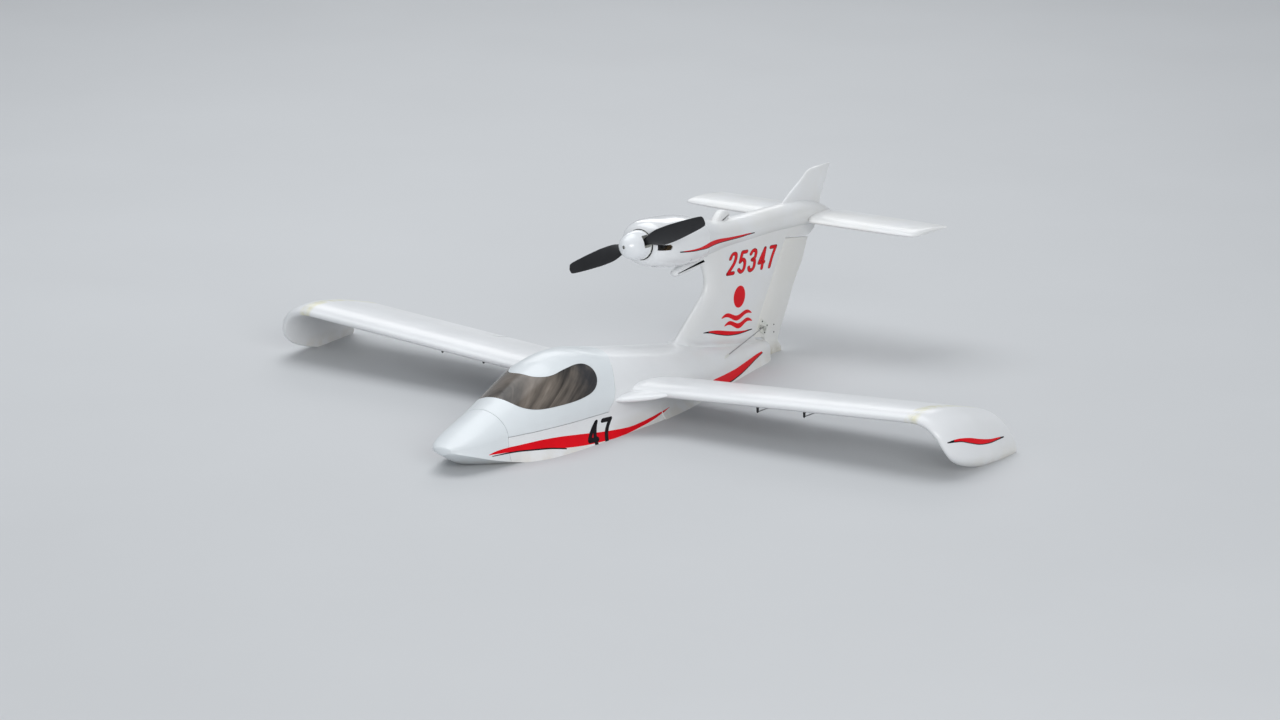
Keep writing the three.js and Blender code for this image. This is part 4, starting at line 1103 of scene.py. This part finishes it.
def skin_tree(obj):
    bm = bmesh.new()
    bm.from_mesh(obj.data)
    tree = BVHTree.FromBMesh(bm)
    bm.free()
    return tree


def lay(name, tree, upper, lower, lift, mat, side, across=6):
    """A film between two edges of equal count, laid on a skin from its port or starboard side."""
    verts = []
    for t in np.linspace(0, 1, across + 1):
        for y, z in upper + (lower - upper) * t:
            spot, normal, _, _ = tree.ray_cast(Vector((side * 0.9, y * MM, z * MM)), Vector((-side, 0, 0)))
            if spot is None:
                spot, normal, _, _ = tree.find_nearest(Vector((side * 0.1, y * MM, z * MM)))
            verts.append((spot + normal * LIFT[lift] * MM) / MM)
    n = len(upper)
    faces = [(r * n + i, r * n + i + 1, (r + 1) * n + i + 1, (r + 1) * n + i)
             for r in range(across) for i in range(n - 1)]
    if side < 0:
        faces = [f[::-1] for f in faces]
    below = [(x - side * FILM_DEPTH, y, z) for x, y, z in verts]
    count = len(verts)
    faces += [tuple(i + count for i in f[::-1]) for f in faces]
    rim = list(range(n)) + [r * n + n - 1 for r in range(1, across + 1)]
    rim += [across * n + i for i in range(n - 2, -1, -1)] + [r * n for r in range(across - 1, 0, -1)]
    for a, b in zip(rim, rim[1:] + rim[:1]):
        faces.append((a, a + count, b + count, b) if side > 0 else (b, b + count, a + count, a))
    obj = make(name, verts + below, faces)
    finish(obj, mat, angle=50)
    return obj


def swoosh(name, trees, edges, count, bright, edge):
    """A dark band on both sides, red between the bright ends, where a dark lower edge is left."""
    upper, lower = (along(e, count) for e in edges)
    keep = (upper[:, 0] > bright[0]) & (upper[:, 0] < bright[1])
    for (label, side), tree in zip(SIDES, trees):
        lay(name + "_edge_" + label, tree, upper, lower, "under", DARK, side)
        lay(name + "_" + label, tree, upper[keep], (lower + (0, edge))[keep], "over", RED, side)


# Strokes of the plain digits, in shares of the cell: smooth or straight, and their points.
DIGITS = {
    "2": [(1, [(0, 0.76), (0.14, 0.95), (0.5, 1), (0.88, 0.93), (1, 0.72), (0.82, 0.46), (0.38, 0.2),
               (0, 0)]),
          (0, [(0, 0), (1, 0)])],
    "3": [(1, [(0, 0.84), (0.22, 0.97), (0.6, 1), (0.95, 0.88), (0.9, 0.62), (0.42, 0.53)]),
          (1, [(0.42, 0.53), (0.95, 0.45), (1, 0.14), (0.62, 0), (0.2, 0.02), (0, 0.15)])],
    "4": [(0, [(0.76, 0), (0.76, 1)]), (0, [(0.76, 1), (0, 0.3)]), (0, [(0, 0.3), (1, 0.3)])],
    "5": [(0, [(0.95, 1), (0.12, 1)]), (0, [(0.12, 1), (0.04, 0.52)]),
          (1, [(0.04, 0.52), (0.5, 0.62), (0.98, 0.46), (0.96, 0.12), (0.5, 0), (0, 0.12)])],
    "7": [(0, [(0, 1), (1, 1)]), (1, [(1, 1), (0.62, 0.5), (0.42, 0)])],
}


def pen_edges(points, smooth, pen):
    """Both edges of a stroke drawn with an oval pen, its ends round."""
    line = along(points, 22) if smooth else np.linspace(points[0], points[1], 8)
    way = np.gradient(line, axis=0)
    way /= np.linalg.norm(way, axis=1)[:, None]
    normal = np.column_stack([-way[:, 1], way[:, 0]])
    turns = np.linspace(0, math.pi / 2, 6)[:-1, None]
    edges = []
    for side in (1, -1):
        start, end = (line[at] + (way[at] * np.cos(turns) * on + normal[at] * np.sin(turns) * side) * pen
                      for at, on in ((0, -1), (-1, 1)))
        edges.append(np.vstack([start, line + normal * pen * side, end[::-1]]))
    return edges


def number(name, tree, text, start, cell, pitch, slope, slant, pen, coats):
    """Plain digits on both sides, each reading from left to right. Coats: label, widening, lift, material."""
    wide, high = cell
    middle = start[0] + (pitch * (len(text) - 1) + wide + slant * high) / 2
    for label, side in SIDES:
        for coat, more, lift, mat in coats:
            strokes = []
            for i, digit in enumerate(text):
                for smooth, points in DIGITS[digit]:
                    points = [(pen[0] + a * (wide - 2 * pen[0]), pen[1] + b * (high - 2 * pen[1]))
                              for a, b in points]
                    placed = []
                    for edge in pen_edges(points, smooth, np.array(pen) + more):
                        y = start[0] + i * pitch + edge[:, 0] + slant * edge[:, 1]
                        y = y if side > 0 else 2 * middle - y
                        placed.append(np.column_stack([y, start[1] + edge[:, 1] + slope * (y - start[0])]))
                    strokes.append(lay("stroke", tree, *placed[::side], lift, mat, side, 3))
            finish(join("_".join(filter(None, (name, coat, label))), *strokes), mat, angle=50)


SUN = (456, 132, 20)  # y, z, radius
WAVES = ((394, 104, 108), (404, 88, 100))  # y and z of the front end, length
WAVE_RISE = 4.2
WAVE_PEN = 4.8


def build_films():
    forms = hull_form(), pod_form()
    hull_tree, pod_tree = map(skin_tree, forms)
    drop(*forms)
    fin_tree, *tip_trees = (skin_tree(bpy.data.objects[name])
                            for name in ("fin_skin", "tip_skin_port", "tip_skin_starboard"))
    films = [(name, hull_tree, [along(e, count) for e in edges], lift, mat, 6)
             for name, edges, count, lift, mat in (
                 ("hull_stripe", HULL_STRIPE, 130, "under", RED), ("hull_band", HULL_BAND, 60, "over", DARK),
                 ("tail_stripe", TAIL_STRIPE, 90, "under", RED), ("tail_band", TAIL_BAND, 70, "over", DARK))]
    turn = np.linspace(0, math.pi, 40)
    y, z, radius = SUN
    sun = [np.column_stack([y - radius * np.cos(turn), z + s * radius * np.sin(turn)]) for s in (1, -1)]
    films.append(("fin_sun", fin_tree, sun, "over", RED, 10))
    for i, (y, z, length) in enumerate(WAVES):
        run = np.linspace(0, length, 60)
        line = z - 0.1 * run + WAVE_RISE * np.sin(run / length * 3 * math.pi)
        pen = WAVE_PEN * np.sin(np.pi * run / length) ** 0.5
        wave = [np.column_stack([y + run, line + s * pen]) for s in (1, -1)]
        films.append(("fin_wave_%d" % (i + 1), fin_tree, wave, "over", RED, 6))
    for name, tree, edges, lift, mat, across in films:
        for label, side in SIDES:
            lay(name + "_" + label, tree, *edges, lift, mat, side, across)
    swoosh("pod_swoosh", [pod_tree] * 2, POD_SWOOSH, 90, (217, 473), 1.53)
    swoosh("fin_swoosh", [fin_tree] * 2, FIN_SWOOSH, 60, (351, 488), 1.53)
    swoosh("tip_swoosh", tip_trees, TIP_SWOOSH, 60, (52, 203), 1.5)
    number("hull_number", hull_tree, "47", (-147, -6.5), (30, 45), 34, -0.055, 0.64, (4.5, 3.7),
           [("", 0, "top", DARK)])
    number("fin_number", fin_tree, "25347", (411, 178.5), (27, 42), 34.5, -0.1, 0.287, (4.6, 3.1),
           [("edge", 0.5, "under", DEEP_RED), ("", -0.9, "over", RED)])


# Camera at the photograph's viewing angle, floor and soft light

def build_stage():
    azimuth, elevation, roll = (math.radians(v) for v in (34.046, 14.305, 0.509))
    distance, tx, tz, focal = 8.5989, 0.08840, 0.10476, 4993.4
    back = Vector((math.sin(azimuth) * math.cos(elevation), -math.cos(azimuth) * math.cos(elevation),
                   math.sin(elevation)))
    right = Vector((math.cos(azimuth), math.sin(azimuth), 0))
    up = back.cross(right)
    place = tx * right + tz * up + distance * back
    axes = (right * math.cos(roll) + up * math.sin(roll), -right * math.sin(roll) + up * math.cos(roll), back)
    data = bpy.data.cameras.new("camera")
    data.sensor_fit = "HORIZONTAL"
    data.sensor_width = 36
    data.lens = 36 * focal / 1280
    data.clip_end = 100
    camera = link_object("camera", data)
    camera.matrix_world = Matrix.Translation(place) @ Matrix(axes).transposed().to_4x4()
    bpy.context.scene.camera = camera

    floor = make("floor", [(x, y, 0) for x, y in rectangle((-2e4, -2e4), (2e4, 2e4))], [(0, 1, 2, 3)])
    floor.data.materials.append(material("floor_paper", (0.60, 0.61, 0.62), rough=0.7, spots=0.02, scale=2,
                                         bump=0.0))

    def area(name, spot, aim, size, power, tint=(1, 1, 1)):
        light = bpy.data.lights.new(name, "AREA")
        light.shape = "RECTANGLE"
        light.size, light.size_y = size
        light.energy = power
        light.color = tint
        obj = link_object(name, light)
        obj.location = spot
        obj.rotation_euler = (Vector(aim) - Vector(spot)).to_track_quat("-Z", "Y").to_euler()

    area("key", (-1.2, 0.6, 4.2), (0, 0.2, 0.1), (4.0, 3.6), 102, (0.96, 0.98, 1.0))
    area("fill", (4.5, -3.5, 2.2), (0.2, 0.1, 0.1), (3.0, 2.5), 150)
    area("rim", (-2.5, 4.0, 2.4), (0, 0.2, 0.2), (3.0, 1.6), 24)
    world = bpy.data.worlds.new("studio")
    world.use_nodes = True
    sky = world.node_tree.nodes["Background"]
    sky.inputs["Color"].default_value = (0.86, 0.9, 0.95, 1)
    sky.inputs["Strength"].default_value = 0.46
    bpy.context.scene.world = world
    bpy.context.scene.view_settings.view_transform = "Standard"


for build in (build_stage, build_hull, build_wings, build_pod, build_propeller, build_fin, build_rudder,
              build_fingers, build_tail, build_rudder_linkage, build_wing_linkages, build_inside,
              build_films):
    build()
